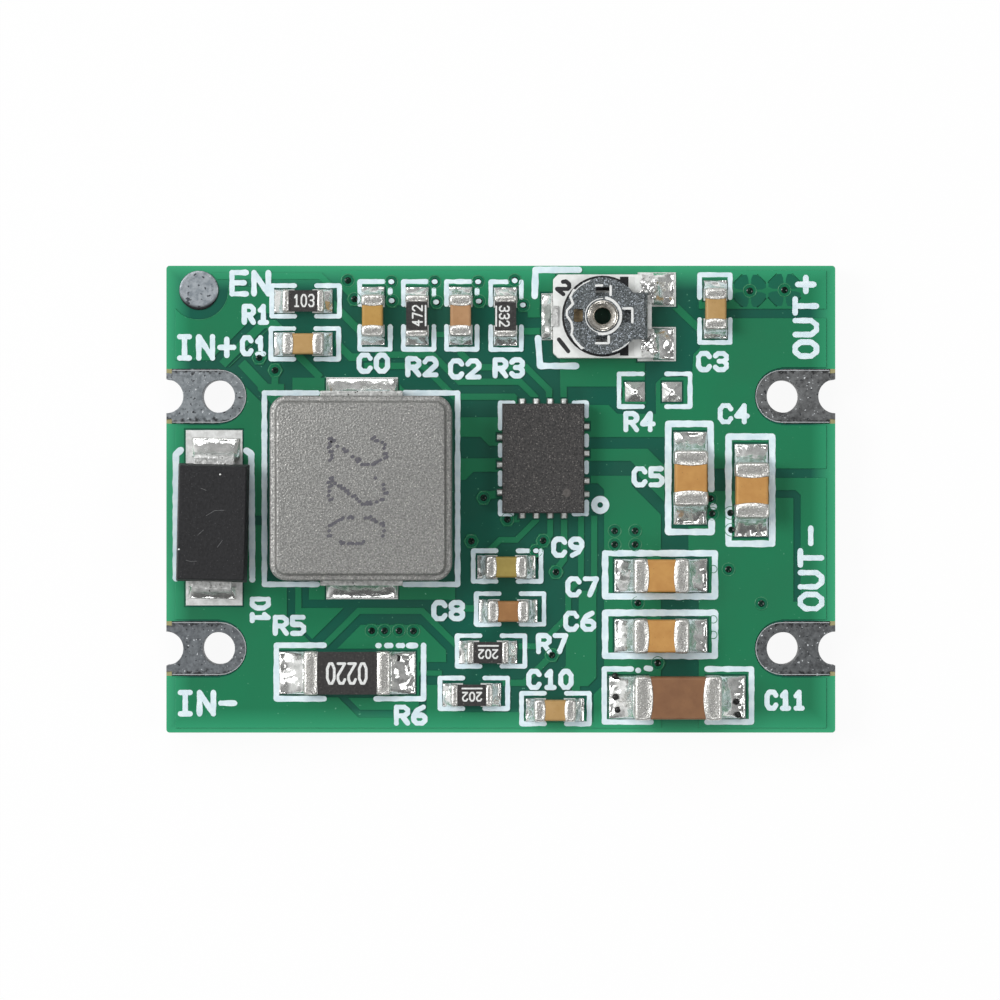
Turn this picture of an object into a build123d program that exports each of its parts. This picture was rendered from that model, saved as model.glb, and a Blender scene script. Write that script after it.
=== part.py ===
from build123d import *
from collections import namedtuple
from math import atan2, cos, pi, radians, sin
import os

# Buck-boost converter module: a two-layer board with plated terminals on both short edges,
# chip capacitors and resistors, a power inductor, a diode, a leadless controller and a trimmer.
# Millimetres. The origin is the board's centre on its underside, X runs from the input edge to
# the output edge and Z points up out of the component side.

# Board and its layers
board_length = 24.5
board_width = 17.1
laminate_thickness = 1.6
board_corner = 0.12
copper_thickness = 0.04
mask_opening = 0.06
pour_inset_x = 0.33
pour_inset_y = 0.17

# Plated terminals: a wire hole and a half hole on the edge, joined by one tinned land
wire_hole_radius = 0.6
wire_hole_inset = 1.91
upper_row_y = 3.77
lower_row_y = -5.47
edge_hole_radius = 0.62
plating_thickness = 0.07
barrel_sides = 12
land_eye_radius = 0.98
land_height = 2.0
land_setback = 0.2
edge_ring_radius = 0.85
underside_clearance = 0.3

# Enable terminal: one round land with a dome of tin
enable_radius = 0.72
enable_dome = 0.08
enable_crown = 0.62
enable_inset_x = 1.19
enable_inset_y = 0.9
enable_clearance = 1.08

# Vias: blind holes in the board, six-sided because they are so small, and the slots of a relief
via_sides = 6
via_hole_radius = 0.16
via_pad_radius = 0.3
relief_offset = 0.5
relief_length = 0.46
relief_width = 0.28

# Chip sizes: the block, the plated band at each end and its bow, and the land pattern
small_chip_length = 1.55
small_chip_width = 0.82
medium_chip_length = 2.05
medium_chip_width = 1.25
large_chip_length = 3.2
large_chip_width = 1.6
cap_thickness = 0.03
cap_ease = 0.035
overcoat_thickness = 0.03
overcoat_inset = 0.02
solder_share = 0.6
solder_inset = 0.04

Chip = namedtuple("Chip", "length width height band bow land_span land_length land_width")
CHIPS = {
    "small_resistor": Chip(small_chip_length, small_chip_width, 0.5, 0.24, 0.02, 2.13, 0.74, 0.86),
    "large_resistor": Chip(large_chip_length, large_chip_width, 0.55, 0.5, 0.02, 5.0, 1.42, 1.56),
    "small_capacitor": Chip(small_chip_length, small_chip_width, 0.8, 0.38, 0.05, 2.13, 0.74, 0.86),
    "medium_capacitor": Chip(medium_chip_length, medium_chip_width, 1.25, 0.5, 0.07, 3.4, 1.15, 1.22),
    "large_capacitor": Chip(large_chip_length, large_chip_width, 1.6, 0.55, 0.08, 5.0, 1.42, 1.56),
}

# Edges of the board and of its pours
edge_x = board_length / 2
edge_y = board_width / 2
pour_x = edge_x - pour_inset_x
pour_y = edge_y - pour_inset_y
hole_x = edge_x - wire_hole_inset
enable_x = -edge_x + enable_inset_x
enable_y = edge_y - enable_inset_y

# Where each chip stands: its kind, centre and turn, c10 at a set distance from the lower edge
lowest_chip_rise = 0.83
RESISTORS = {
    "r1": ("small_resistor", -7.23, 7.25, 0),
    "r2": ("small_resistor", -3.07, 6.7, 90),
    "r3": ("small_resistor", 0.17, 6.69, -90),
    "r5": ("large_resistor", -5.62, -6.36, 180),
    "r6": ("small_resistor", -1.06, -7.17, 180),
    "r7": ("small_resistor", -0.47, -5.61, 180),
}
CAPACITORS = {
    "c0": ("small_capacitor", -4.69, 6.71, 90),
    "c1": ("small_capacitor", -7.23, 5.68, 0),
    "c2": ("small_capacitor", -1.47, 6.71, 90),
    "c3": ("small_capacitor", 7.86, 6.95, 90),
    "c4": ("medium_capacitor", 9.17, 0.32, 90),
    "c5": ("medium_capacitor", 6.94, 0.77, 90),
    "c6": ("medium_capacitor", 5.86, -5.0, 0),
    "c7": ("medium_capacitor", 5.86, -2.8, 0),
    "c8": ("small_capacitor", 0.27, -4.1, 0),
    "c9": ("small_capacitor", 0.2, -2.48, 0),
    "c10": ("small_capacitor", 1.98, lowest_chip_rise - edge_y, 0),
    "c11": ("large_capacitor", 6.46, -7.25, 0),
}

# Empty resistor place: two tinned lands
empty_place = (5.59, 3.93)
empty_pitch = 1.36
empty_land = 0.72
empty_tin = 0.18
empty_tin_inset = 0.04

# Diode
diode_x = -10.5
diode_y = -0.86
diode_turn = -1.3
diode_length = 4.3
diode_width = 2.6
diode_height = 2.1
diode_draft = 5
diode_lead_width = 1.45
diode_lead_thickness = 0.2
diode_lead_reach = 0.4
diode_lead_depth = 0.5
diode_foot = 1.1
diode_solder_rise = 0.55
diode_land_y = -0.68
diode_land_length = 1.65
diode_land_width = 2.07
diode_land_span = 6.42

# Inductor
inductor_x = -5.08
inductor_y = 0.4
inductor_length = 6.7
inductor_width = 6.6
inductor_height = 3.0
inductor_corner = 0.55
inductor_edge = 0.16
inductor_clip_width = 3.0
inductor_clip_thickness = 0.2
inductor_clip_rise = 1.3
inductor_solder_rise = 0.5
inductor_clip_foot = 1.2
inductor_land_width = 2.62
inductor_land_span = 8.12
inductor_land_length = 1.5

# Controller: a leadless package, its contacts flush with its underside
package_x = 1.55
package_y = 1.49
package_length = 3.0
package_width = 4.0
package_height = 0.9
package_chamfer = 0.04
contact_width = 0.26
contact_length = 0.4
contact_thickness = 0.2
contact_pitch = 0.51
contact_toe = 0.18
toe_inset = 0.02
thermal_pad_x = 1.7
thermal_pad_y = 2.7
left_contacts = (0.78, -0.23, -1.24)
right_contacts = (1.18, 0.19, -0.82, -1.31)
end_contacts = 4

# Trimmer: a ceramic base, a resistive track, and a wiper rotor that turns on a hollow eyelet
trimmer_x = 3.71
trimmer_y = 6.68
trimmer_base_length = 3.6
trimmer_base_width = 3.05
trimmer_base_height = 0.75
trimmer_base_chamfer = 0.18
trimmer_clip_thickness = 0.08
rotor_radius = 1.4
rotor_thickness = 0.1
rotor_fold = 1.44
rotor_tab_width = 1.7
rotor_gap = 0.2
rotor_trim = 1.27
rotor_bite_radius = 0.43
rotor_bite_x = 1.5
rotor_bite_y = 0.5
finger_x = 1.18
finger_pitch = 0.7
finger_length = 0.2
finger_width = 0.16
rotor_slot_span = 2.1
rotor_slot_width = 0.5
rotor_collar_radius = 0.72
rotor_collar_rise = 0.05
running_clearance = 0.03
eyelet_radius = 0.45
eyelet_bore = 0.3
eyelet_mouth = 0.47
eyelet_funnel = 0.15
eyelet_flange_radius = 0.56
eyelet_flange_thickness = 0.07
track_inner = 0.95
track_outer = 1.48
track_thickness = 0.02
track_opening = 100
track_end_x = 0.9
track_end_y = 1.2
track_end_length = 0.52
track_end_width = 0.48
wiper_clip_width = 1.7
wiper_clip_rise = 0.5
wiper_clip_reach = 0.7
wiper_hook_width = 0.75
wiper_hook_return = 0.2
wiper_solder_rise = 0.3
wiper_land_reach = 0.42
wiper_land_return = 0.6
end_clip_width = 1.05
end_clip_pitch = 2.0
end_clip_return = 0.38
end_solder_rise = 0.5
end_land_reach = 0.9
end_land_return = 0.5
end_land_margin = 0.1

# Levels, from the underside up
laminate_bottom = copper_thickness
laminate_top = laminate_bottom + laminate_thickness
land_top = laminate_top + copper_thickness

TERMINALS = {
    "in_plus_land": (-1, upper_row_y),
    "in_minus_land": (-1, lower_row_y),
    "out_plus_land": (1, upper_row_y),
    "out_minus_land": (1, lower_row_y),
}

VIAS = [
    (-8.85, 5.18), (-8.27, 4.72), (-5.6, 8.01), (-5.36, 7.33), (-4.01, 7.96), (-3.98, 7.27),
    (-2.42, 7.96), (-2.34, 7.22), (-0.83, 7.96), (-0.79, 7.25), (0.51, 8.02), (0.83, 7.11),
    (-0.63, 0.05), (0.24, -0.74), (-1.08, -1.54), (1.55, -1.52), (1.29, -1.89), (2.02, -2.67),
    (4.17, -1.16), (4.92, -1.16), (4.17, -1.66), (4.92, -1.66), (7.68, 0.02), (7.74, -0.53),
    (8.41, -0.5), (8.44, -1.12), (8.34, -2.57), (9.54, -3.82), (5.02, -3.8), (5.75, -6.0),
    (1.87, -5.71), (-4.73, -4.82), (-4.26, -4.82), (-3.73, -4.82), (-3.2, -4.83),
]
RELIEF_VIAS = [(9.12, 7.63), (10.39, 7.66)]

# Copper areas of the component side, as (x, y) corners
POURS = {
    "feedback": [
        (-pour_x, 5.08), (-10.64, 5.08), (-8.92, 6.8), (-8.42, 6.8), (-8.42, 7.78), (-pour_x, 7.78),
    ],
    "input": [
        (-pour_x, 4.18), (-9.4, 4.18), (-8.72, 3.5), (-8.72, -0.6), (-pour_x, -0.6),
    ],
    "ground": [
        (-pour_x, -0.95), (-8.72, -0.95), (-8.72, -3.0), (-7.83, -3.0), (-7.83, -4.38),
        (-6.75, -5.46), (-6.75, -7.25), (-5.95, -7.25), (-5.2, -8.0), (-2.72, -8.0), (-2.72, -6.8),
        (-1.5, -6.8), (-1.5, -7.8), (1.6, -7.8), (1.6, -8.17), (3.4, -8.17), (3.4, -7.15),
        (3.78, -6.77), (3.78, 0.35), (3.55, 0.58), (2.9, 0.58), (2.9, 0.86), (4.8, 0.86),
        (4.8, 0.5), (5.87, -0.57), (5.87, -pour_y), (-pour_x, -pour_y),
    ],
    "return": [
        (6.87, -0.15), (7.35, 0.3), (8.6, 0.3), (8.6, 0.05), (10.72, 0.05), (10.72, -3.75),
        (10.98, -3.75), (10.98, 0.15), (10.8, 0.33), (9.9, 0.33), (9.9, 0.78), (pour_x, 0.78),
        (pour_x, -pour_y), (7.25, -pour_y), (7.25, -2.0), (6.87, -2.0),
    ],
    "output": [
        (2.9, 3.45), (3.95, 3.45), (4.27, 3.13), (5.68, 3.13), (5.68, 4.25), (5.9, 4.47),
        (7.0, 4.47), (7.05, 5.3), (7.3, 5.55), (7.3, 6.63), (pour_x, 6.63), (pour_x, 1.12),
        (6.3, 1.12), (6.3, 2.27), (2.9, 2.27),
    ],
    "output_strip": [(7.25, 6.97), (pour_x, 6.97), (pour_x, pour_y), (7.25, pour_y)],
    "switch": [
        (2.9, 1.85), (5.38, 1.85), (6.0, 1.23), (6.0, -0.1), (5.05, 0.85), (5.05, 1.1), (4.75, 1.4),
        (2.9, 1.4),
    ],
    "trimmer_pour": [
        (2.17, 4.12), (4.33, 4.12), (4.33, 3.5), (5.28, 3.5), (5.28, 5.3), (2.17, 5.3),
    ],
    "top_ground": [
        (-5.85, pour_y), (2.0, pour_y), (2.0, 7.6), (1.45, 7.6), (1.45, 6.65), (0.98, 6.65), (0.98, 7.1),
        (-5.25, 7.1), (-5.85, 7.7),
    ],
    "inductor_upper": [(-7.63, 4.45), (-3.95, 4.45), (-3.5, 4.0), (-3.5, 3.3), (-7.63, 3.3)],
    "inductor_lower": [(-7.03, -3.0), (-1.67, -3.0), (-1.67, -3.68), (-7.03, -3.68)],
    "under_inductor": [(-8.9, 4.22), (-7.93, 4.22), (-7.93, 3.4), (-8.3, 3.4), (-8.9, 4.0)],
    "package_upper": [(-1.6, 3.0), (0.12, 3.0), (0.12, 1.95), (-0.42, 1.95), (-0.75, 2.28), (-1.6, 2.28)],
    "package_lower": [(-1.6, 1.5), (0.12, 1.5), (0.12, 1.0), (-1.0, 1.0), (-1.3, 0.7), (-1.6, 0.7)],
    "sense_left": [(-7.53, -3.1), (-7.3, -3.1), (-7.3, -3.98), (-5.75, -3.98), (-6.9, -5.13), (-7.53, -4.5)],
    "sense_right": [
        (-6.0, -5.48), (-5.13, -4.6), (-2.93, -4.6), (-2.0, -5.53), (-2.0, -5.97), (-3.0, -5.97),
        (-3.0, -7.72), (-5.15, -7.72), (-5.6, -7.27), (-4.55, -7.27), (-4.55, -5.48),
    ],
    "lower_pour": [
        (2.85, -3.35), (3.5, -3.35), (3.5, -6.55), (3.2, -6.85), (2.2, -6.85), (2.2, -6.3),
        (2.38, -6.1), (2.38, -4.95), (2.85, -4.48),
    ],
}

# Tracks of the component side: width, then the centre line's corners
TRACKS = [
    (0.24, [(-10.6, 8.17), (-6.6, 8.17), (-6.25, 7.82), (-6.25, 7.3)]),
    (0.32, [(-10.2, 4.93), (-8.72, 6.41), (-8.3, 6.41), (-8.0, 6.11)]),
    (0.25, [(-8.27, 4.72), (-8.27, 4.1)]),
    (0.36, [(-9.5, 5.0), (-8.65, 4.1)]),
    (0.27, [(-7.45, 5.3), (-6.6, 4.45)]),
    (0.24, [(1.26, 3.45), (1.26, 3.74), (0.7, 4.3), (-1.51, 4.3), (-2.5, 5.29), (-4.6, 5.29)]),
    (0.24, [(0.76, 3.45), (0.46, 3.75), (-1.7, 3.75), (-2.83, 4.88), (-5.0, 4.88)]),
    (0.24, [(-1.47, 5.9), (-1.47, 5.35), (-0.95, 4.83), (0.93, 4.83), (1.77, 3.99), (1.77, 3.45)]),
    (0.24, [(2.3, 3.45), (2.3, 4.3)]),
    (0.2, [(-2.8, 6.03), (-1.75, 6.03)]),
    (0.28, [(-6.3, 7.3), (-5.05, 6.05)]),
    (0.28, [(-6.1, 5.8), (-5.5, 5.2), (-4.9, 5.2)]),
    (0.25, [(0.5, 6.15), (1.6, 6.15)]),
    (0.27, [(6.3, 7.15), (7.25, 6.25)]),
    (0.3, [(-0.63, 0.1), (0.2, 0.25)]),
    (0.22, [(0.79, -0.4), (0.6, -0.74), (0.24, -0.74)]),
    (0.22, [(1.3, -0.4), (1.3, -0.76), (0.57, -1.49), (-0.03, -1.49), (-0.42, -1.88), (-0.42, -2.3)]),
    (0.22, [(1.81, -0.4), (1.81, -1.3), (1.22, -1.9), (1.22, -2.4)]),
    (0.24, [(2.32, -0.4), (2.32, -2.2), (2.02, -2.6)]),
    (0.22, [(2.94, -0.62), (2.94, -2.9), (2.47, -3.37), (2.47, -4.28), (1.36, -5.39), (0.6, -5.39)]),
    (0.23, [(3.42, -0.6), (3.42, -3.4)]),
    (0.24, [(1.87, -5.71), (0.85, -6.73), (0.0, -6.73)]),
    (0.3, [(2.75, -6.8), (2.75, -7.5)]),
    (0.23, [(-6.45, -5.34), (-5.2, -4.09), (-2.88, -4.09), (-1.5, -5.47)]),
    (0.2, [(-3.1, -6.37), (-2.15, -6.37)]),
    (0.25, [(-1.6, -4.0), (-0.7, -4.0)]),
]


def lift(shape, x, y, z, turn=0):
    """A shape made about its own origin, turned and set down on the board."""
    return Pos(x, y, z) * Rot(0, 0, turn) * shape


def plate(outline, bottom, thickness):
    """A flat outline made into a layer of the stack."""
    return Pos(0, 0, bottom) * extrude(outline, thickness)


def closed(points):
    """A face inside straight edges."""
    return make_face(Polyline(*points, close=True))


def strip(width, points):
    """A track's outline: its centre line widened, with mitred corners and square ends."""
    sides = ([], [])
    for i, (x, y) in enumerate(points):
        before = points[max(i - 1, 0)]
        after = points[min(i + 1, len(points) - 1)]
        into = (x - before[0], y - before[1]) if i else (after[0] - x, after[1] - y)
        away = (after[0] - x, after[1] - y) if i < len(points) - 1 else into
        angle_in = atan2(into[1], into[0])
        angle_out = atan2(away[1], away[0])
        half_turn = ((angle_out - angle_in + pi) % (2 * pi) - pi) / 2
        reach = width / 2 / cos(half_turn)
        normal = angle_in + half_turn + pi / 2
        sides[0].append((x + reach * cos(normal), y + reach * sin(normal)))
        sides[1].append((x - reach * cos(normal), y - reach * sin(normal)))
    return closed(sides[0] + sides[1][::-1])


def board_outline():
    """The board's plan with its rounded corners."""
    return RectangleRounded(board_length, board_width, board_corner)


def terminal_outline(side, y, grow=0):
    """Plan of one terminal land: a bar from the edge that ends in an eye round the wire hole."""
    bar_length = wire_hole_inset - land_setback
    bar = Pos(side * (hole_x + bar_length / 2), y) * Rectangle(bar_length + 2 * grow, land_height + 2 * grow)
    eye = Pos(side * hole_x, y) * Circle(land_eye_radius + grow)
    ring = Pos(side * edge_x, y) * Circle(edge_ring_radius + grow)
    return (bar + eye + ring) & Rectangle(board_length, board_width)


def underside_outline(side, y, grow=0):
    """Plan of one terminal's land on the underside: a plain bar."""
    inner = hole_x - land_eye_radius - grow
    return Pos(side * (inner + edge_x) / 2, y) * Rectangle(edge_x - inner, land_height + 2 * grow)


def barrel_outlines(side, y):
    """Outlines of the drilled holes that the plated barrels fill, many-sided inside the board."""
    wire = RegularPolygon(wire_hole_radius + plating_thickness, barrel_sides)
    edge = RegularPolygon(edge_hole_radius + plating_thickness, barrel_sides)
    return Pos(side * hole_x, y) * wire, Pos(side * edge_x, y) * edge


def terminal_land(side, y):
    """Both faces' lands, the wire hole's barrel and the half barrel on the edge, as one piece."""
    outline = terminal_outline(side, y)
    land = plate(outline, laminate_top, copper_thickness)
    land += plate(underside_outline(side, y), 0, copper_thickness)
    barrel, edge_barrel = barrel_outlines(side, y)
    land += plate(barrel, 0, land_top) + plate(edge_barrel & outline, 0, land_top)
    land -= plate(Pos(side * hole_x, y) * Circle(wire_hole_radius), 0, land_top)
    land -= plate(Pos(side * edge_x, y) * Circle(edge_hole_radius), 0, land_top)
    return land


def component_land_outlines():
    """Every soldered land but the terminals: chips, diode, inductor, controller and trimmer."""
    lands = []
    for kind, x, y, turn in [*RESISTORS.values(), *CAPACITORS.values()]:
        chip = CHIPS[kind]
        pitch = chip.land_span - chip.land_length
        for side in (-1, 1):
            pad = Pos(side * pitch / 2, 0) * Rectangle(chip.land_length, chip.land_width)
            lands.append(Pos(x, y) * Rot(0, 0, turn) * pad)
    empty_pad = Rectangle(empty_land, empty_land)
    diode_pad = Rectangle(diode_land_width, diode_land_length)
    diode_pitch = diode_land_span - diode_land_length
    inductor_pad = Rectangle(inductor_land_width, inductor_land_length)
    inductor_pitch = inductor_land_span - inductor_land_length
    end_pad = Rectangle(end_land_reach + end_land_return, end_clip_width + 2 * end_land_margin)
    end_pad_x = trimmer_x + (trimmer_base_length + end_land_reach - end_land_return) / 2
    for side in (-1, 1):
        lands.append(Pos(empty_place[0] + side * empty_pitch / 2, empty_place[1]) * empty_pad)
        lands.append(Pos(diode_x, diode_land_y + side * diode_pitch / 2) * diode_pad)
        lands.append(Pos(inductor_x, inductor_y + side * inductor_pitch / 2) * inductor_pad)
        lands.append(Pos(end_pad_x, trimmer_y + side * end_clip_pitch / 2) * end_pad)
    wiper_pad_x = trimmer_x - (trimmer_base_length + wiper_land_reach - wiper_land_return) / 2
    wiper_pad = Rectangle(wiper_land_reach + wiper_land_return, wiper_clip_width)
    lands.append(Pos(wiper_pad_x, trimmer_y) * wiper_pad)
    for x, y, turn in contact_places():
        pad = Rectangle(contact_length + contact_toe, contact_width)
        lands.append(Pos(x, y) * Rot(0, 0, turn) * Pos((contact_toe - contact_length) / 2, 0) * pad)
    lands.append(Pos(package_x, package_y) * Rectangle(thermal_pad_x, thermal_pad_y))
    return lands


def contact_places():
    """Where each of the controller's contacts meets the package's edge, and which way it faces."""
    places = []
    for i in range(end_contacts):
        x = package_x + (i - (end_contacts - 1) / 2) * contact_pitch
        places.append((x, package_y + package_width / 2, 90))
        places.append((x, package_y - package_width / 2, -90))
    places += [(package_x - package_length / 2, package_y + y, 180) for y in left_contacts]
    places += [(package_x + package_length / 2, package_y + y, 0) for y in right_contacts]
    return places


def via_holes():
    """The outline of every via's hole."""
    return [Pos(x, y) * RegularPolygon(via_hole_radius, via_sides) for x, y in VIAS + RELIEF_VIAS]


def circuit_board():
    """The laminate, drilled for the terminals and the vias."""
    board = plate(board_outline(), laminate_bottom, laminate_thickness)
    drills = []
    for side, y in TERMINALS.values():
        drills += barrel_outlines(side, y)
    drills += via_holes()
    return board - [plate(drill, laminate_bottom, laminate_thickness) for drill in drills]


def relief(x, y):
    """The four slots round a via that leave it joined to its pour by thin spokes."""
    slot = Pos(relief_offset, 0) * Rectangle(relief_width, relief_length)
    return [Pos(x, y) * Rot(0, 0, 45 + 90 * i) * slot for i in range(4)]


def masked_copper():
    """The component side's tracks, pours and via pads, raised under the green mask."""
    pours = {name: closed(points) for name, points in POURS.items()}
    pours["feedback"] -= Pos(enable_x, enable_y) * Circle(enable_clearance)
    pattern = [*pours.values()]
    pattern += [strip(width, points) for width, points in TRACKS]
    pattern += [Pos(x, y) * RegularPolygon(via_pad_radius, via_sides) for x, y in VIAS]
    copper = Sketch() + pattern
    openings = via_holes()
    for x, y in RELIEF_VIAS:
        openings += relief(x, y)
    openings += [terminal_outline(side, y, mask_opening) for side, y in TERMINALS.values()]
    openings.append(Pos(enable_x, enable_y) * RegularPolygon(enable_radius + mask_opening, barrel_sides))
    for land in component_land_outlines():
        openings.append(offset(land, mask_opening, kind=Kind.INTERSECTION))
    copper -= openings
    return plate(copper, laminate_top, copper_thickness)


def underside_copper():
    """The underside's masked pour, kept clear of the terminals."""
    pour = Rectangle(2 * pour_x, 2 * pour_y)
    pour -= [underside_outline(side, y, underside_clearance) for side, y in TERMINALS.values()]
    return plate(pour, 0, copper_thickness)


def enable_land():
    """The enable terminal: a round land under a dome of tin."""
    dome = Cone(enable_radius, enable_crown, enable_dome)
    land = plate(Circle(enable_radius), 0, copper_thickness)
    land += Pos(0, 0, copper_thickness + enable_dome / 2) * dome
    return lift(land, enable_x, enable_y, laminate_top)


def solder_wedge(run, rise, width):
    """Solder that climbs a wall at x = 0 from a land that runs along +X, hollow in its slope."""
    outline = [(0, 0), (run, 0), (run * 0.6, rise * 0.1), (run * 0.26, rise * 0.36), (0, rise)]
    return extrude(Plane.XZ * closed(outline), width / 2, both=True)


def solder_joints():
    """The solder at every component's ends, and the tin on the empty place's lands."""
    joints = []
    for kind, x, y, turn in [*RESISTORS.values(), *CAPACITORS.values()]:
        chip = CHIPS[kind]
        run = (chip.land_span - chip.length) / 2 - solder_inset
        wedge = solder_wedge(run, chip.height * solder_share, chip.width - 2 * solder_inset)
        for half_turn in (0, 180):
            end = Rot(0, 0, half_turn) * Pos(chip.length / 2, 0, 0) * wedge
            joints.append(lift(end, x, y, land_top, turn))
    pillow_size = empty_land - 2 * empty_tin_inset
    pillow = extrude(Rectangle(pillow_size, pillow_size), empty_tin, taper=45)
    lead_end = diode_length / 2 + diode_lead_reach
    clip_end = inductor_length / 2 + inductor_clip_thickness
    clip_run = inductor_land_span / 2 - clip_end - solder_inset
    clip_solder = solder_wedge(clip_run, inductor_solder_rise, inductor_land_width - 2 * solder_inset)
    end_solder = solder_wedge(
        end_land_reach - trimmer_clip_thickness - solder_inset, end_solder_rise, end_clip_width
    )
    trimmer_end = trimmer_base_length / 2 + trimmer_clip_thickness
    for side in (-1, 1):
        joints.append(Pos(empty_place[0] + side * empty_pitch / 2, empty_place[1], land_top) * pillow)
        land_end = diode_land_span / 2 + side * (diode_land_y - diode_y)
        wedge = Pos(lead_end, 0, 0) * solder_wedge(
            land_end - lead_end - solder_inset, diode_solder_rise, diode_lead_width
        )
        joints.append(lift(wedge, diode_x, diode_y, land_top, diode_turn + side * 90))
        joints.append(lift(Pos(clip_end, 0, 0) * clip_solder, inductor_x, inductor_y, land_top, side * 90))
        end_y = trimmer_y + side * end_clip_pitch / 2
        joints.append(lift(end_solder, trimmer_x + trimmer_end, end_y, land_top))
    wiper_run = wiper_land_reach - trimmer_clip_thickness - solder_inset
    wiper_solder = solder_wedge(wiper_run, wiper_solder_rise, wiper_clip_width - 2 * solder_inset)
    joints.append(lift(wiper_solder, trimmer_x - trimmer_end, trimmer_y, land_top, 180))
    slope = closed([(0, 0), (contact_toe - toe_inset, 0), (0, contact_thickness)])
    toe = extrude(Plane.XZ * slope, contact_width / 2 - toe_inset, both=True)
    joints += [lift(toe, x, y, land_top, turn) for x, y, turn in contact_places()]
    return Compound(children=joints)


def chip_block(chip, skin=0):
    """A chip's block standing on its lands, less a skin all round."""
    block = Box(chip.length - 2 * skin, chip.width - 2 * skin, chip.height - 2 * skin)
    return Pos(0, 0, chip.height / 2) * block


def end_caps(chip):
    """Both terminations: cups that wrap the chip's ends, with eased ends and a bowed inner edge."""
    outer = chip_block(chip)
    ends = outer.edges().filter_by(Axis.X, reverse=True).sort_by(Axis.Z)[2:]
    cups = chamfer(ends, cap_ease) - chip_block(chip, cap_thickness)
    caps = []
    half = chip.width / 2
    for side in (-1, 1):
        near = side * (chip.length / 2 - chip.band)
        far = side * chip.length / 2
        bowed = ThreePointArc((near, half), (near - side * chip.bow, 0), (near, -half))
        sides = Polyline((near, -half), (far, -half), (far, half), (near, half))
        caps.append(cups & plate(make_face([bowed, sides]), 0, chip.height))
    return Compound(children=caps)


def overcoat(chip):
    """The glaze printed on a resistor's top, between its terminations."""
    length = chip.length - 2 * (chip.band + chip.bow)
    coat = Box(length, chip.width - 2 * overcoat_inset, overcoat_thickness)
    return Pos(0, 0, chip.height - cap_thickness + overcoat_thickness / 2) * coat


def diode_lead():
    """A lead that leaves the body's end at half height, drops to the land and folds back under it."""
    end = diode_length / 2 + diode_lead_reach
    thickness = diode_lead_thickness
    middle = (thickness + diode_height) / 2
    outline = [
        (diode_length / 2 - diode_lead_depth, middle + thickness / 2),
        (end, middle + thickness / 2),
        (end, 0),
        (diode_length / 2 - diode_foot, 0),
        (diode_length / 2 - diode_foot, thickness),
        (end - thickness, thickness),
        (end - thickness, middle - thickness / 2),
        (diode_length / 2 - diode_lead_depth, middle - thickness / 2),
    ]
    lead = extrude(Plane.XZ * closed(outline), diode_lead_width / 2, both=True)
    bends = lead.edges().filter_by(Axis.Y).sort_by(Axis.X)[-2:]
    return fillet(bends, thickness)


def diode():
    """The moulded body, drafted from its parting line, and its two leads."""
    thickness = diode_lead_thickness
    half_height = (diode_height - thickness) / 2
    middle = thickness + half_height
    parting = Rectangle(diode_length, diode_width)
    body = Pos(0, 0, middle) * extrude(parting, half_height, taper=diode_draft)
    body += Pos(0, 0, middle) * extrude(parting, -half_height, taper=diode_draft)
    leads = [Rot(0, 0, turn) * diode_lead() for turn in (0, 180)]
    body -= leads
    turn = diode_turn + 90
    return (
        lift(body, diode_x, diode_y, land_top, turn),
        lift(Compound(children=leads), diode_x, diode_y, land_top, turn),
    )


def inductor_clip():
    """A flat terminal that stands against the core's end face, its foot let into the underside."""
    thickness = inductor_clip_thickness
    end = inductor_length / 2
    outline = [
        (end + thickness, 0), (end + thickness, inductor_clip_rise), (end, inductor_clip_rise),
        (end, thickness), (end - inductor_clip_foot, thickness), (end - inductor_clip_foot, 0),
    ]
    return extrude(Plane.XZ * closed(outline), inductor_clip_width / 2, both=True)


def inductor():
    """The pressed core, with its rounded corners and top edge, and its two terminals."""
    core = extrude(RectangleRounded(inductor_length, inductor_width, inductor_corner), inductor_height)
    core = chamfer(core.faces().sort_by(Axis.Z)[-1].edges(), inductor_edge)
    clips = [Rot(0, 0, turn) * inductor_clip() for turn in (0, 180)]
    core -= clips
    return (
        lift(core, inductor_x, inductor_y, land_top, 90),
        lift(Compound(children=clips), inductor_x, inductor_y, land_top, 90),
    )


def package_contacts():
    """The controller's edge contacts and the thermal pad in the middle of its underside."""
    contact = Box(contact_length, contact_width, contact_thickness)
    contact = Pos(-contact_length / 2, 0, contact_thickness / 2) * contact
    contacts = [lift(contact, x, y, land_top, turn) for x, y, turn in contact_places()]
    pad = Box(thermal_pad_x, thermal_pad_y, contact_thickness)
    contacts.append(Pos(package_x, package_y, land_top + contact_thickness / 2) * pad)
    return Compound(children=contacts)


def package():
    """The controller's moulded body round its contacts."""
    body = Box(package_length, package_width, package_height)
    body = chamfer(body.faces().sort_by(Axis.Z)[-1].edges(), package_chamfer)
    body = Pos(package_x, package_y, land_top + package_height / 2) * body
    return body - package_contacts()


# Levels inside the trimmer: its leaf clears the clips' returns, its fingers run on the track
trimmer_base_bottom = trimmer_clip_thickness
trimmer_base_top = trimmer_base_bottom + trimmer_base_height
clip_top = trimmer_base_top + trimmer_clip_thickness
finger_bottom = trimmer_base_top + track_thickness + running_clearance
leaf_bottom = clip_top + running_clearance
rotor_plate_bottom = leaf_bottom + rotor_thickness + rotor_gap
rotor_top = rotor_plate_bottom + rotor_thickness
collar_top = rotor_top + rotor_collar_rise
eyelet_flange_bottom = collar_top + running_clearance
eyelet_top = eyelet_flange_bottom + eyelet_flange_thickness


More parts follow.
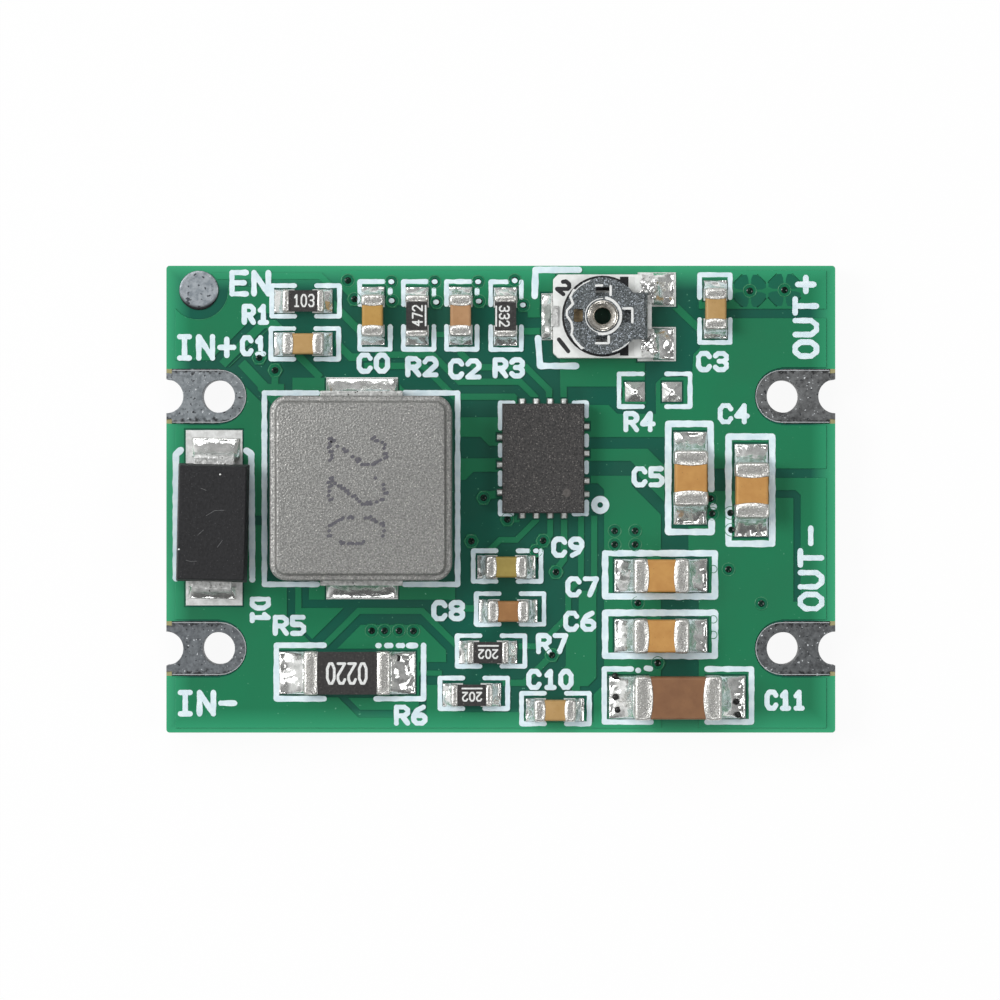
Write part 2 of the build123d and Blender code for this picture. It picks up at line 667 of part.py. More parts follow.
def trimmer_base():
    """The ceramic base: a tile with two cut corners and a hole for the eyelet."""
    base = Box(trimmer_base_length, trimmer_base_width, trimmer_base_height)
    corners = base.edges().filter_by(Axis.Z).sort_by(Axis.X)[:2]
    base = chamfer(corners, trimmer_base_chamfer)
    base -= Cylinder(eyelet_radius, trimmer_base_height)
    return Pos(0, 0, trimmer_base_bottom + trimmer_base_height / 2) * base


def trimmer_track():
    """The resistive track: an open ring whose ends square off towards the end terminals."""
    ring = Circle(track_outer) - Circle(track_inner)
    far = 2 * track_outer
    mouth = radians(track_opening / 2)
    ring -= closed([(0, 0), (far * cos(mouth), far * sin(mouth)), (far * cos(mouth), -far * sin(mouth))])
    for side in (-1, 1):
        ring += Pos(track_end_x, side * track_end_y) * Rectangle(track_end_length, track_end_width)
    return plate(ring, trimmer_base_top, track_thickness)


def rotor_plan():
    """Plan of the rotor's top plate: a disc with a tab, its far edge trimmed and bitten twice."""
    trimmed = Pos(rotor_radius - rotor_trim, 0) * Rectangle(2 * rotor_radius, 2 * rotor_radius)
    plan = Circle(rotor_radius) & trimmed
    plan += Pos(rotor_fold / 2, 0) * Rectangle(rotor_fold, rotor_tab_width)
    bite = Circle(rotor_bite_radius)
    return plan - [Pos(-rotor_bite_x, side * rotor_bite_y) * bite for side in (-1, 1)]


def rotor_leaf():
    """The leaf under the plate, and its two fingers that reach down to the track."""
    leaf = Circle(rotor_radius) & Rectangle(2 * rotor_radius, rotor_tab_width)
    leaf += Pos(rotor_fold / 2, 0) * Rectangle(rotor_fold, rotor_tab_width)
    sprung = plate(leaf, leaf_bottom, rotor_thickness)
    for side in (-1, 1):
        finger = Pos(-finger_x, side * finger_pitch / 2) * Rectangle(finger_length, finger_width)
        sprung += plate(finger, finger_bottom, leaf_bottom - finger_bottom)
    return sprung


def trimmer_rotor():
    """The sprung rotor: a slotted plate with a collar, whose tab folds under it into the leaf."""
    rotor = plate(rotor_plan(), rotor_plate_bottom, rotor_thickness)
    rotor += plate(Circle(rotor_collar_radius), rotor_plate_bottom, collar_top - rotor_plate_bottom)
    fold_height = rotor_top - leaf_bottom
    bend = Circle(fold_height / 2) - Circle(fold_height / 2 - rotor_thickness)
    bend &= Pos(fold_height, 0) * Rectangle(2 * fold_height, 2 * fold_height)
    bend = extrude(bend, rotor_tab_width / 2, both=True)
    rotor += Pos(rotor_fold, 0, leaf_bottom + fold_height / 2) * Rot(90, 0, 0) * bend
    rotor += rotor_leaf()
    slot = Rectangle(rotor_slot_span / 2 - rotor_collar_radius, rotor_slot_width)
    slot_x = (rotor_slot_span / 2 + rotor_collar_radius) / 2
    slot = plate(Pos(slot_x, 0) * slot, rotor_plate_bottom, rotor_thickness)
    rotor -= [Rot(0, 0, 90 * i) * slot for i in range(4)]
    return rotor - Pos(0, 0, collar_top / 2) * Cylinder(eyelet_radius + running_clearance, collar_top)


def trimmer_eyelet():
    """The hollow eyelet that holds the rotor: a shank under a flange, with a funnel into its bore."""
    eyelet = plate(Circle(eyelet_radius), 0, eyelet_flange_bottom)
    eyelet += plate(Circle(eyelet_flange_radius), eyelet_flange_bottom, eyelet_flange_thickness)
    eyelet -= plate(Circle(eyelet_bore), 0, eyelet_top)
    funnel = Cone(eyelet_bore, eyelet_mouth, eyelet_funnel)
    return eyelet - Pos(0, 0, eyelet_top - eyelet_funnel / 2) * funnel


def wiper_terminal():
    """The wiper's terminal: a strip under the base from the eyelet, turned up into a hook."""
    end = trimmer_base_length / 2
    thickness = trimmer_clip_thickness
    foot = Pos((wiper_clip_reach - end) / 2, 0) * Rectangle(wiper_clip_reach + end, wiper_clip_width)
    terminal = plate(foot - Circle(eyelet_radius), 0, thickness)
    wall = Pos(-end - thickness / 2, 0)
    terminal += plate(wall * Rectangle(thickness, wiper_clip_width), 0, wiper_clip_rise)
    terminal += plate(wall * Rectangle(thickness, wiper_hook_width), 0, clip_top)
    hook_length = thickness + wiper_hook_return
    hook = Pos(hook_length / 2 - end - thickness, 0) * Rectangle(hook_length, wiper_hook_width)
    return terminal + plate(hook, trimmer_base_top, thickness)


def end_terminals():
    """The track's two terminals: clips that grip the base's edge from above and below."""
    end = trimmer_base_length / 2
    thickness = trimmer_clip_thickness
    tip = end - end_clip_return
    outline = [
        (end + thickness, 0), (end + thickness, clip_top), (tip, clip_top), (tip, trimmer_base_top),
        (end, trimmer_base_top), (end, thickness), (tip, thickness), (tip, 0),
    ]
    clip = extrude(Plane.XZ * closed(outline), end_clip_width / 2, both=True)
    return Compound(children=[Pos(0, side * end_clip_pitch / 2, 0) * clip for side in (-1, 1)])


def build_nodes():
    """Every piece of the module by its node's name."""
    nodes = {
        "circuit_board": circuit_board(),
        "masked_copper": masked_copper(),
        "underside_copper": underside_copper(),
        "enable_land": enable_land(),
        "component_lands": Compound(
            children=[plate(land, laminate_top, copper_thickness) for land in component_land_outlines()]
        ),
        "solder_joints": solder_joints(),
    }
    for name, (side, y) in TERMINALS.items():
        nodes[name] = terminal_land(side, y)
    for name, (kind, x, y, turn) in CAPACITORS.items():
        nodes[f"{name}_ceramic"] = lift(chip_block(CHIPS[kind], cap_thickness), x, y, land_top, turn)
        nodes[f"{name}_end_caps"] = lift(end_caps(CHIPS[kind]), x, y, land_top, turn)
    coats = []
    for name, (kind, x, y, turn) in RESISTORS.items():
        nodes[f"{name}_body"] = lift(chip_block(CHIPS[kind], cap_thickness), x, y, land_top, turn)
        nodes[f"{name}_end_caps"] = lift(end_caps(CHIPS[kind]), x, y, land_top, turn)
        coats.append(lift(overcoat(CHIPS[kind]), x, y, land_top, turn))
    nodes["resistor_overcoats"] = Compound(children=coats)
    nodes["d1_body"], nodes["d1_leads"] = diode()
    nodes["l1_core"], nodes["l1_terminals"] = inductor()
    nodes["u1_package"] = package()
    nodes["u1_contacts"] = package_contacts()
    trimmer = {
        "trimmer_base": trimmer_base(),
        "trimmer_track": trimmer_track(),
        "trimmer_rotor": trimmer_rotor(),
        "trimmer_eyelet": trimmer_eyelet(),
        "trimmer_wiper_terminal": wiper_terminal(),
        "trimmer_end_terminals": end_terminals(),
    }
    for name, piece in trimmer.items():
        nodes[name] = lift(piece, trimmer_x, trimmer_y, land_top)
    return nodes


os.makedirs("parts", exist_ok=True)
for name, shape in build_nodes().items():
    export_step(shape, f"parts/{name}.step")
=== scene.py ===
import bmesh
import bpy
import math
from mathutils import Matrix, Vector, noise


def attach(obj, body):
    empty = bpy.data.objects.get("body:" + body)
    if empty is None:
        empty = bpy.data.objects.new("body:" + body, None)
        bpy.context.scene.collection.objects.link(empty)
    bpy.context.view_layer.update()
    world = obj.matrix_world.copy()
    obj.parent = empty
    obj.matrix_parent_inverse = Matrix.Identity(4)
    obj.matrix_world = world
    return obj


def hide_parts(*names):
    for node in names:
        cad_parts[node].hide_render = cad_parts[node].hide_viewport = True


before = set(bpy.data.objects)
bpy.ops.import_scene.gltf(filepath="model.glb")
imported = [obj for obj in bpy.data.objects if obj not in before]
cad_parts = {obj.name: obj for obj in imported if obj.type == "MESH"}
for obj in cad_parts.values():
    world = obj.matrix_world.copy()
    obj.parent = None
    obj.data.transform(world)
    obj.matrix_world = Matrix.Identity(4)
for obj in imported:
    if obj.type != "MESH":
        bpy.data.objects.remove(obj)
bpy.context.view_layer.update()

# Camera, floor and light.
# The module is looked at from straight above through a long lens, on a white sweep of card. The
# light comes in low all round and most of it from the left, so flat metal stays dark.
scene = bpy.context.scene
MM = 0.001
VIEW_DISTANCE = 250
VIEW_WIDTH = 36.63
SENSOR_WIDTH = 36
BOARD_TOP = 1.64


def linear(hex_colour):
    """An sRGB hex colour as the linear values that a shader takes."""
    parts = [int(hex_colour[i : i + 2], 16) / 255 for i in (1, 3, 5)]
    return [p / 12.92 if p <= 0.04045 else ((p + 0.055) / 1.055) ** 2.4 for p in parts] + [1.0]


def empty_tree(block):
    """The node tree of a new material or world, with nothing in it."""
    block.use_nodes = True
    block.node_tree.nodes.clear()
    return block.node_tree


def add_node(tree, kind, settings=None, links=None):
    """A node with its settings, constants, and links from sockets or whole nodes.

    The kind of a shader node is given without its prefix, ShaderNode.
    """
    node = tree.nodes.new(kind if "Node" in kind else "ShaderNode" + kind)
    for name, value in (settings or {}).items():
        if isinstance(name, str) and hasattr(node, name):
            setattr(node, name, value)
        else:
            node.inputs[name].default_value = value
    for name, source in (links or {}).items():
        socket = source.outputs[0] if hasattr(source, "outputs") else source
        tree.links.new(socket, node.inputs[name])
    return node


camera_data = bpy.data.cameras.new("overhead_camera")
camera_data.sensor_width = SENSOR_WIDTH
camera_data.lens = SENSOR_WIDTH * VIEW_DISTANCE / VIEW_WIDTH
camera_data.clip_start = 0.01
camera_data.clip_end = 20
camera = bpy.data.objects.new("overhead_camera", camera_data)
camera.location = (-0.03 * MM, -0.03 * MM, (VIEW_DISTANCE + BOARD_TOP) * MM)
scene.collection.objects.link(camera)
scene.camera = camera
scene.view_settings.view_transform = "Standard"

card = bpy.data.materials.new("white_card")
tree = empty_tree(card)
rays = add_node(tree, "LightPath").outputs
seen = add_node(
    tree, "Math", {"operation": "MAXIMUM"}, {0: rays["Is Camera Ray"], 1: rays["Is Glossy Ray"]}
)
seen = add_node(tree, "Math", {"operation": "MAXIMUM"}, {0: seen, 1: rays["Is Transmission Ray"]})
card_face = add_node(tree, "BsdfDiffuse", {"Color": linear("#F6F6F6")})
card_glow = add_node(tree, "Emission", None, {"Strength": seen})
card_mix = add_node(tree, "MixShader", {"Fac": 0.94}, {1: card_face, 2: card_glow})
add_node(tree, "OutputMaterial", None, {"Surface": card_mix})

floor_mesh = bpy.data.meshes.new("floor")
floor_mesh.from_pydata([(-1.5, -1.5, 0), (1.5, -1.5, 0), (1.5, 1.5, 0), (-1.5, 1.5, 0)], [], [(0, 1, 2, 3)])
floor_mesh.materials.append(card)
floor = bpy.data.objects.new("floor", floor_mesh)
floor.location.z = -0.005 * MM
scene.collection.objects.link(floor)

# The room dims overhead, brightens to the left and dims again towards the front.
world = bpy.data.worlds.new("studio_room")
scene.world = world
tree = empty_tree(world)
heading = add_node(tree, "SeparateXYZ", None, {0: add_node(tree, "TexCoord")}).outputs
level = None
slopes = ((2, 0.3, 0.97, 0.45, 0.07), (0, -0.15, -0.9, 0, 0.6), (1, -0.3, -0.9, 0, -0.35))
for axis, start, stop, first, last in slopes:
    slope = {"From Min": start, "From Max": stop, "To Min": first, "To Max": last}
    share = add_node(tree, "MapRange", slope, {"Value": heading[axis]})
    if level:
        share = add_node(tree, "Math", {"operation": "ADD"}, {0: level, 1: share})
    level = share
to_camera = add_node(tree, "LightPath").outputs["Is Camera Ray"]
level = add_node(tree, "Mix", {"data_type": "FLOAT", 3: 1.0}, {0: to_camera, 2: level})
room = add_node(tree, "Background", None, {"Strength": level})
add_node(tree, "OutputWorld", None, {"Surface": room})

for name, place, size, power in (
    ("soft_box_left", (-0.31, 0.10, 0.38), 0.22, 1.25),
    ("soft_box_right", (0.27, -0.04, 0.42), 0.16, 0.4),
    ("soft_box_back", (-0.04, 0.30, 0.40), 0.18, 0.5),
    ("soft_box_front", (0.02, -0.28, 0.42), 0.16, 0.35),
):
    lamp = bpy.data.lights.new(name, "AREA")
    lamp.shape = "SQUARE"
    lamp.size = size
    lamp.energy = power
    lamp_object = bpy.data.objects.new(name, lamp)
    lamp_object.location = place
    lamp_object.rotation_euler = (-Vector(place)).to_track_quat("-Z", "Y").to_euler()
    scene.collection.objects.link(lamp_object)


# Circuit board.
# Glass-fibre laminate, routed to size and drilled, with green solder mask printed on both faces.
# Where no copper lies under the mask it looks deeper, and near the edges painted light lightens it.
BOARD_LENGTH = 24.5
BOARD_WIDTH = 17.1
TERMINAL_ROWS = (3.77, -5.47)


def finish(name, light, dark, grain, rough, metal=0.0, specks=(), bump=(0.0, 0.1), contrast=0.16):
    """A material: two tones that wander at a grain size in millimetres, specks, and fine bumps."""
    material = bpy.data.materials.new(name)
    tree = empty_tree(material)
    place = add_node(tree, "TexCoord").outputs["Object"]
    cloud = add_node(tree, "TexNoise", {"Scale": 1 / (grain * MM), "Detail": 3.0}, {"Vector": place})
    spread = {"From Min": 0.5 - contrast, "From Max": 0.5 + contrast}
    share = add_node(tree, "MapRange", spread, {"Value": cloud})
    tone = add_node(tree, "Mix", {"data_type": "RGBA", 6: linear(light), 7: linear(dark)}, {0: share})
    for colour, size, limit in specks:
        dots = add_node(tree, "TexNoise", {"Scale": 1 / (size * MM), "Detail": 1.0}, {"Vector": place})
        spread = {"From Min": limit, "From Max": limit + 0.04}
        cover = add_node(tree, "MapRange", spread, {"Value": dots})
        paint = {"data_type": "RGBA", 7: linear(colour)}
        tone = add_node(tree, "Mix", paint, {0: cover, 6: tone.outputs[2]})
    polish = add_node(tree, "MapRange", {"To Min": rough[0], "To Max": rough[1]}, {"Value": share})
    inputs = {"Base Color": tone.outputs[2], "Roughness": polish}
    shader = add_node(tree, "BsdfPrincipled", {"Metallic": metal}, inputs)
    depth, size = bump
    if depth:
        fine = add_node(tree, "TexNoise", {"Scale": 1 / (size * MM), "Detail": 2.0}, {"Vector": place})
        dents = add_node(tree, "Bump", {"Distance": depth * MM}, {"Height": fine})
        tree.links.new(dents.outputs[0], shader.inputs["Normal"])
    add_node(tree, "OutputMaterial", None, {"Surface": shader})
    return material


def reading(material):
    """What more is built on a finish: its tree, its shader, and its place whole and as X, Y and Z."""
    tree = material.node_tree
    shader = next(node for node in tree.nodes if node.type == "BSDF_PRINCIPLED")
    place = next(node for node in tree.nodes if node.type == "TEX_COORD").outputs["Object"]
    return tree, shader, place, add_node(tree, "SeparateXYZ", None, {0: place}).outputs


def away_from(tree, coordinate, middle):
    """How far a coordinate lies from a value in millimetres, on either side of it."""
    offset = add_node(tree, "Math", {"operation": "SUBTRACT", 1: middle * MM}, {0: coordinate})
    return add_node(tree, "Math", {"operation": "ABSOLUTE"}, {0: offset})


def lay_over(material, colour, cover):
    """Lays a colour over a finish, as thick as the cover says."""
    tree = material.node_tree
    base = next(node for node in tree.nodes if node.type == "BSDF_PRINCIPLED").inputs["Base Color"]
    under = base.links[0].from_socket
    tone = add_node(tree, "Mix", {"data_type": "RGBA", 7: linear(colour)}, {0: cover, 6: under})
    tree.links.new(tone.outputs[2], base)


def solder_mask(name, face, deep, edge_painted_light):
    """Green liquid mask, cured: a smooth gloss over what lies under it, dust specks, and painted light at the
    edges.
    """
    dust = (("#6FB293", 0.1, 0.77),)
    material = finish(name, face, deep, 2.5, (0.28, 0.34), specks=dust, bump=(0.003, 0.5))
    tree, shader, place, axes = reading(material)
    reach = []
    for axis, half in ((0, BOARD_LENGTH / 2), (1, BOARD_WIDTH / 2)):
        border = {"From Min": (half - 0.9) * MM, "From Max": half * MM}
        reach.append(add_node(tree, "MapRange", border, {"Value": away_from(tree, axes[axis], 0)}))
    # Painted light: over the last 0.9 mm to each edge the mask turns to the lighter colour.
    rim = add_node(tree, "Math", {"operation": "MAXIMUM"}, {0: reach[0], 1: reach[1]})
    lay_over(material, edge_painted_light, rim)
    shader.inputs["Coat Weight"].default_value = 0.2
    shader.inputs["Coat Roughness"].default_value = 0.15
    return material


def dress(node, material):
    """Gives a CAD node its finish."""
    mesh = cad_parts[node].data
    mesh.materials.clear()
    mesh.materials.append(material)


# The third colour is painted light along the board's edges.
board_finish = solder_mask("green_mask_over_laminate", "#0E5C4A", "#0C5544", "#3BA878")
tree, shader, place, axes = reading(board_finish)
masked = shader.inputs["Base Color"].links[0].from_socket
above = add_node(tree, "Math", {"operation": "GREATER_THAN", 1: (BOARD_TOP - 0.03) * MM}, {0: axes[2]})
below = add_node(tree, "Math", {"operation": "LESS_THAN", 1: 0.07 * MM}, {0: axes[2]})
skin = add_node(tree, "Math", {"operation": "MAXIMUM"}, {0: above, 1: below})
margin = {"operation": "GREATER_THAN", 1: (BOARD_LENGTH / 2 - 0.21) * MM}
bare = add_node(tree, "Math", margin, {0: away_from(tree, axes[0], 0)})
for row in TERMINAL_ROWS:
    away = away_from(tree, axes[1], row)
    beside = add_node(tree, "Math", {"operation": "LESS_THAN", 1: 1.0 * MM}, {0: away})
    patch = add_node(tree, "Math", {"operation": "MULTIPLY"}, {0: beside, 1: bare})
    skin = add_node(tree, "Math", {"operation": "SUBTRACT", "use_clamp": True}, {0: skin, 1: patch})
weave = add_node(tree, "TexNoise", {"Scale": 1 / (0.15 * MM), "Detail": 2.0}, {"Vector": place})
glass = {"data_type": "RGBA", 6: linear("#B4AC7E"), 7: linear("#8E8A62")}
weave = add_node(tree, "Mix", glass, {0: weave})
shown = add_node(tree, "Mix", {"data_type": "RGBA"}, {0: skin, 6: weave.outputs[2], 7: masked})
tree.links.new(shown.outputs[2], shader.inputs["Base Color"])
dress("circuit_board", board_finish)

# The third colour is painted light along the board's edges.
copper_finish = solder_mask("green_mask_over_copper", "#1E7C54", "#1A754F", "#34A274")
dress("underside_copper", copper_finish)


# Tracks and pours.
# Etched copper under the mask: the mask is lighter there, and runs thin over each etched edge. At
# the plus output, two reliefs are cut round their vias, each of four petals.
def keep(name, mesh, body, replaced=()):
    """A finished mesh as a piece that rides on a body, in place of the CAD nodes that it replaces."""
    piece = bpy.data.objects.new(name, mesh)
    scene.collection.objects.link(piece)
    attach(piece, body)
    if replaced:
        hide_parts(*replaced)


def keep_shape(name, shape, material, body, replaced=()):
    """A shape drawn in millimetres as a piece with one finish."""
    shape.transform(Matrix.Scale(MM, 4))
    mesh = bpy.data.meshes.new(name)
    shape.to_mesh(mesh)
    shape.free()
    mesh.materials.append(material)
    keep(name, mesh, body, replaced)


def eased_copy(node, name, radius, material, segments=2, angle=25, body="board", clamp=True):
    """A welded copy of a CAD node whose sharp edges are rounded to that radius in millimetres."""
    shape = bmesh.new()
    shape.from_mesh(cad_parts[node].data)
    shape.transform(Matrix.Scale(1 / MM, 4))
    bmesh.ops.remove_doubles(shape, verts=shape.verts, dist=0.0005)
    bmesh.ops.dissolve_limit(shape, angle_limit=math.radians(1), verts=shape.verts, edges=shape.edges)
    limit = math.radians(angle)
    sharp = [edge for edge in shape.edges if len(edge.link_faces) == 2 and edge.calc_face_angle(0) > limit]
    bmesh.ops.bevel(
        shape, geom=sharp, offset=radius, segments=segments, profile=0.5, affect="EDGES", clamp_overlap=clamp
    )
    keep_shape(name, shape, material, body, [node])


def drawn_piece(name, shape, material, replaced=(), smooth=True):
    """A shape drawn here as a piece on the board, with its faces turned outwards."""
    bmesh.ops.recalc_face_normals(shape, faces=shape.faces)
    for face in shape.faces:
        face.smooth = smooth
    keep_shape(name, shape, material, "board", replaced)


def join_rings(shape, rings):
    """Faces between each ring of points and the next. A ring of one point makes a tip."""
    for low, high in zip(rings, rings[1:]):
        for i in range(max(len(low), len(high))):
            corners = [ring[k % len(ring)] for ring, k in ((low, i - 1), (low, i), (high, i), (high, i - 1))]
            shape.faces.new(list(dict.fromkeys(corners)))


eased_copy("masked_copper", "tracks_and_pours", 0.008, copper_finish, 1, clamp=False)

MASK_TOP = 1.68
PETAL = [(0.26, turn) for turn in (-36, -18, 0, 18, 36)] + [(0.45, 38), (0.6, 34)]
PETAL += [(0.63, turn) for turn in (24, 8, -8, -24)] + [(0.6, -34), (0.45, -38)]
petals = bmesh.new()
for x, y in ((9.12, 7.63), (10.39, 7.66)):
    for corner in (45, 135, 225, 315):
        rings = []
        for level in (MASK_TOP - 0.005, MASK_TOP + 0.003):
            ring = []
            for reach, turn in PETAL:
                a = math.radians(corner + turn)
                ring.append(petals.verts.new((x + reach * math.cos(a), y + reach * math.sin(a), level)))
            petals.faces.new(ring)
            rings.append(ring)
        join_rings(petals, rings)
relief_finish = finish("mask_over_relief_slots", "#12664E", "#0F5C48", 1.5, (0.3, 0.35))
drawn_piece("relief_petals", petals, relief_finish, smooth=False)


# Vias.
# Each is a plated hole: the mask makes a thin round rim over its ring and sinks into the hole,
# where it is painted near black as painted shade.
VIA_PLACES = [
    (-8.85, 5.18), (-8.27, 4.72), (-5.6, 8.01), (-5.36, 7.33), (-4.01, 7.96), (-3.98, 7.27),
    (-2.42, 7.96), (-2.34, 7.22), (-0.83, 7.96), (-0.79, 7.25), (0.51, 8.02), (0.83, 7.11),
    (-0.63, 0.05), (0.24, -0.74), (-1.08, -1.54), (1.55, -1.52), (1.29, -1.89), (2.02, -2.67),
    (4.17, -1.16), (4.92, -1.16), (4.17, -1.66), (4.92, -1.66), (7.68, 0.02), (7.74, -0.53),
    (8.41, -0.5), (8.44, -1.12), (8.34, -2.57), (9.54, -3.82), (5.02, -3.8), (5.75, -6.0),
    (1.87, -5.71), (-4.73, -4.82), (-4.26, -4.82), (-3.73, -4.82), (-3.2, -4.83), (9.12, 7.63), (10.39, 7.66),
]


def start_tree(name, numbers, materials):
    """A Geometry Nodes tree that takes a geometry, the named numbers and the named materials."""
    tree = bpy.data.node_groups.new(name, "GeometryNodeTree")
    tree.interface.new_socket("Geometry", in_out="OUTPUT", socket_type="NodeSocketGeometry")
    tree.interface.new_socket("Geometry", in_out="INPUT", socket_type="NodeSocketGeometry")
    for labels, kind in ((numbers, "NodeSocketFloat"), (materials, "NodeSocketMaterial")):
        for label in labels:
            tree.interface.new_socket(label, in_out="INPUT", socket_type=kind)
    return tree, add_node(tree, "NodeGroupInput").outputs


def grow(name, mesh, tree, values, body):
    """Runs a tree on a mesh with those values and keeps the result as a plain piece."""
    seed = bpy.data.objects.new(name + "_seed", mesh)
    scene.collection.objects.link(seed)
    modifier = seed.modifiers.new("grow", "NODES")
    modifier.node_group = tree
    for item in tree.interface.items_tree:
        if item.in_out == "INPUT" and item.name in values:
            modifier[item.identifier] = values[item.name]
    bpy.context.view_layer.update()
    grown = bpy.data.meshes.new_from_object(seed.evaluated_get(bpy.context.evaluated_depsgraph_get()))
    bpy.data.objects.remove(seed)
    grown.name = name
    keep(name, grown, body)


tree, given = start_tree("via_rims", ("Rim radius", "Rim width", "Hole radius"), ("Rim", "Dish", "Hole"))
path = add_node(tree, "GeometryNodeCurvePrimitiveCircle", {"Resolution": 20}, {"Radius": given[1]})
section = add_node(tree, "GeometryNodeCurvePrimitiveCircle", {"Resolution": 6}, {"Radius": given[2]})
rim_mesh = add_node(tree, "GeometryNodeCurveToMesh", None, {"Curve": path, "Profile Curve": section})
dish_size = {"Vertices": 16, "Depth": 0.012 * MM}
dish_mesh = add_node(tree, "GeometryNodeMeshCylinder", dish_size, {"Radius": given[1]})
hole_mesh = add_node(tree, "GeometryNodeMeshUVSphere", {"Segments": 14, "Rings": 8}, {"Radius": given[3]})
parts = add_node(tree, "GeometryNodeJoinGeometry")
for source, flatness, level, dressing in (
    (rim_mesh, 1.0, 0.0, given[4]), (dish_mesh, 1.0, -0.002, given[5]), (hole_mesh, 0.3, -0.002, given[6])
):
    setting = {"Translation": (0, 0, level * MM), "Scale": (1, 1, flatness)}
    lifted = add_node(tree, "GeometryNodeTransform", setting, {"Geometry": source})
    dressed = add_node(tree, "GeometryNodeSetMaterial", None, {"Geometry": lifted, "Material": dressing})
    tree.links.new(dressed.outputs[0], parts.inputs[0])
vias = add_node(tree, "GeometryNodeInstanceOnPoints", None, {"Points": given[0], "Instance": parts})
vias = add_node(tree, "GeometryNodeRealizeInstances", None, {"Geometry": vias})
add_node(tree, "NodeGroupOutput", None, {0: vias})

rim_finish = finish("mask_thin_over_via_ring", "#459068", "#227A52", 0.25, (0.25, 0.35))
via_values = {
    "Rim radius": 0.235 * MM, "Rim width": 0.018 * MM, "Hole radius": 0.13 * MM, "Rim": rim_finish,
    "Dish": finish("mask_pooled_round_via", "#1D7450", "#125F46", 0.2, (0.2, 0.3)),
    # Painted shade: the mask in the via's hole is near black, standing in for the shade down the hole.
    "Hole": finish("mask_sunk_in_via_painted_shade", "#04140F", "#0A2A20", 0.2, (0.08, 0.16), bump=(0.0, 0.15)),
}
via_mesh = bpy.data.meshes.new("via_places")
via_mesh.from_pydata([(x * MM, y * MM, MASK_TOP * MM) for x, y in VIA_PLACES], [], [])
grow("via_rims", via_mesh, tree, via_values, "board")


# Terminal lands.
# Plated copper tinned by hot air: a dull, mottled grey skin, nearly black in patches towards
# its rims, and a few bright specks in it. The lands under the controller are darker: painted shade.
CONTROLLER_PLACE = (1.55, 1.49)


def arc(radius, first, last, steps):
    """Points round a circle about the origin, from one angle to another in degrees."""
    angles = [math.radians(first + (last - first) * i / steps) for i in range(steps + 1)]
    return [(radius * math.cos(a), radius * math.sin(a)) for a in angles]


def tinned_terminal(name, light, dark, row):
    """Hot-air levelled tin of one row of terminals, nearly black in patches towards its two long rims."""
    material = finish(
        name, light, dark, 0.16, (0.42, 0.6), metal=0.45,
        specks=(("#2C2F33", 0.13, 0.66), ("#DDE1E4", 0.09, 0.7)), bump=(0.015, 0.1), contrast=0.2,
    )
    tree, shader, place, axes = reading(material)
    # Darker in patches towards the two long rims, nearly black at the most.
    rims = {"From Min": 0.7 * MM, "From Max": 0.97 * MM, "To Max": 0.38}
    near = add_node(tree, "MapRange", rims, {"Value": away_from(tree, axes[1], row)})
    patches = add_node(tree, "TexNoise", {"Scale": 1 / (0.17 * MM), "Detail": 4.0}, {"Vector": place})
    rim_darkening = add_node(tree, "Math", {"operation": "ADD"}, {0: near, 1: patches})
    darkening_span = {"From Min": 0.66, "From Max": 0.86, "To Max": 0.9}
    lay_over(material, "#131416", add_node(tree, "MapRange", darkening_span, {"Value": rim_darkening}))
    return material


painted_terminal_rim_highlights = []
for land, light, dark, side, row in (
    ("in_plus_land", "#969CA0", "#6C7276", -1, TERMINAL_ROWS[0]),
    ("in_minus_land", "#7D8286", "#54585C", -1, TERMINAL_ROWS[1]),
    ("out_plus_land", "#77797A", "#4A4B4C", 1, TERMINAL_ROWS[0]),
    ("out_minus_land", "#707375", "#454749", 1, TERMINAL_ROWS[1]),
):
    material = tinned_terminal("levelled_tin_" + land, light, dark, row)
    eased_copy(land, land + "_tinned", 0.015, material, angle=40)
    # Painted highlight: a thin bright tin line is drawn round each terminal land's outline.
    edge = [(12.02, 0.95)] + [(10.29 + x, y) for x, y in arc(0.95, 90, 270, 14)] + [(12.02, -0.95)]
    painted_terminal_rim_highlights.append([(side * x, row + y) for x, y in edge])

tin_finish = finish("matt_tin_plate", "#F4F5F4", "#D2D3D1", 0.2, (0.35, 0.5), metal=0.15, bump=(0.012, 0.12))
tree, shader, place, axes = reading(tin_finish)
# Painted shade: the lands and contacts under and just beside the controller are laid over with dark grey
# green.
beside = []
for axis, half in ((0, 1.8), (1, 2.25)):
    away = away_from(tree, axes[axis], CONTROLLER_PLACE[axis])
    beside.append(add_node(tree, "Math", {"operation": "LESS_THAN", 1: half * MM}, {0: away}))
shade_under_controller = add_node(tree, "Math", {"operation": "MULTIPLY"}, {0: beside[0], 1: beside[1]})
lay_over(tin_finish, "#566059", shade_under_controller)
dress("component_lands", tin_finish)


# Enable terminal.
# A round land with the low dome of tin that surface tension leaves on it, thin and bright at its
# rim, with painted shade: a dark crescent along its rim on the -Y side.
def lathed(name, centre, profile, steps, material, replaced=()):
    """A round piece turned from its profile of (radius, height) points in millimetres."""
    shape = bmesh.new()
    rings = []
    for radius, level in profile:
        points = arc(radius, 0, 360, steps)[: steps if radius else 1]
        rings.append([shape.verts.new((centre[0] + x, centre[1] + y, level)) for x, y in points])
    join_rings(shape, rings)
    drawn_piece(name, shape, material, replaced)


ENABLE_PLACE = (-11.06, 7.65)
dome_finish = finish(
    "domed_tin", "#B4BBC1", "#838B92", 0.18, (0.35, 0.5), metal=0.4,
    specks=(("#4A5056", 0.16, 0.64), ("#DDE2E6", 0.1, 0.74)), bump=(0.012, 0.16), contrast=0.14,
)
tree, shader, place, axes = reading(dome_finish)
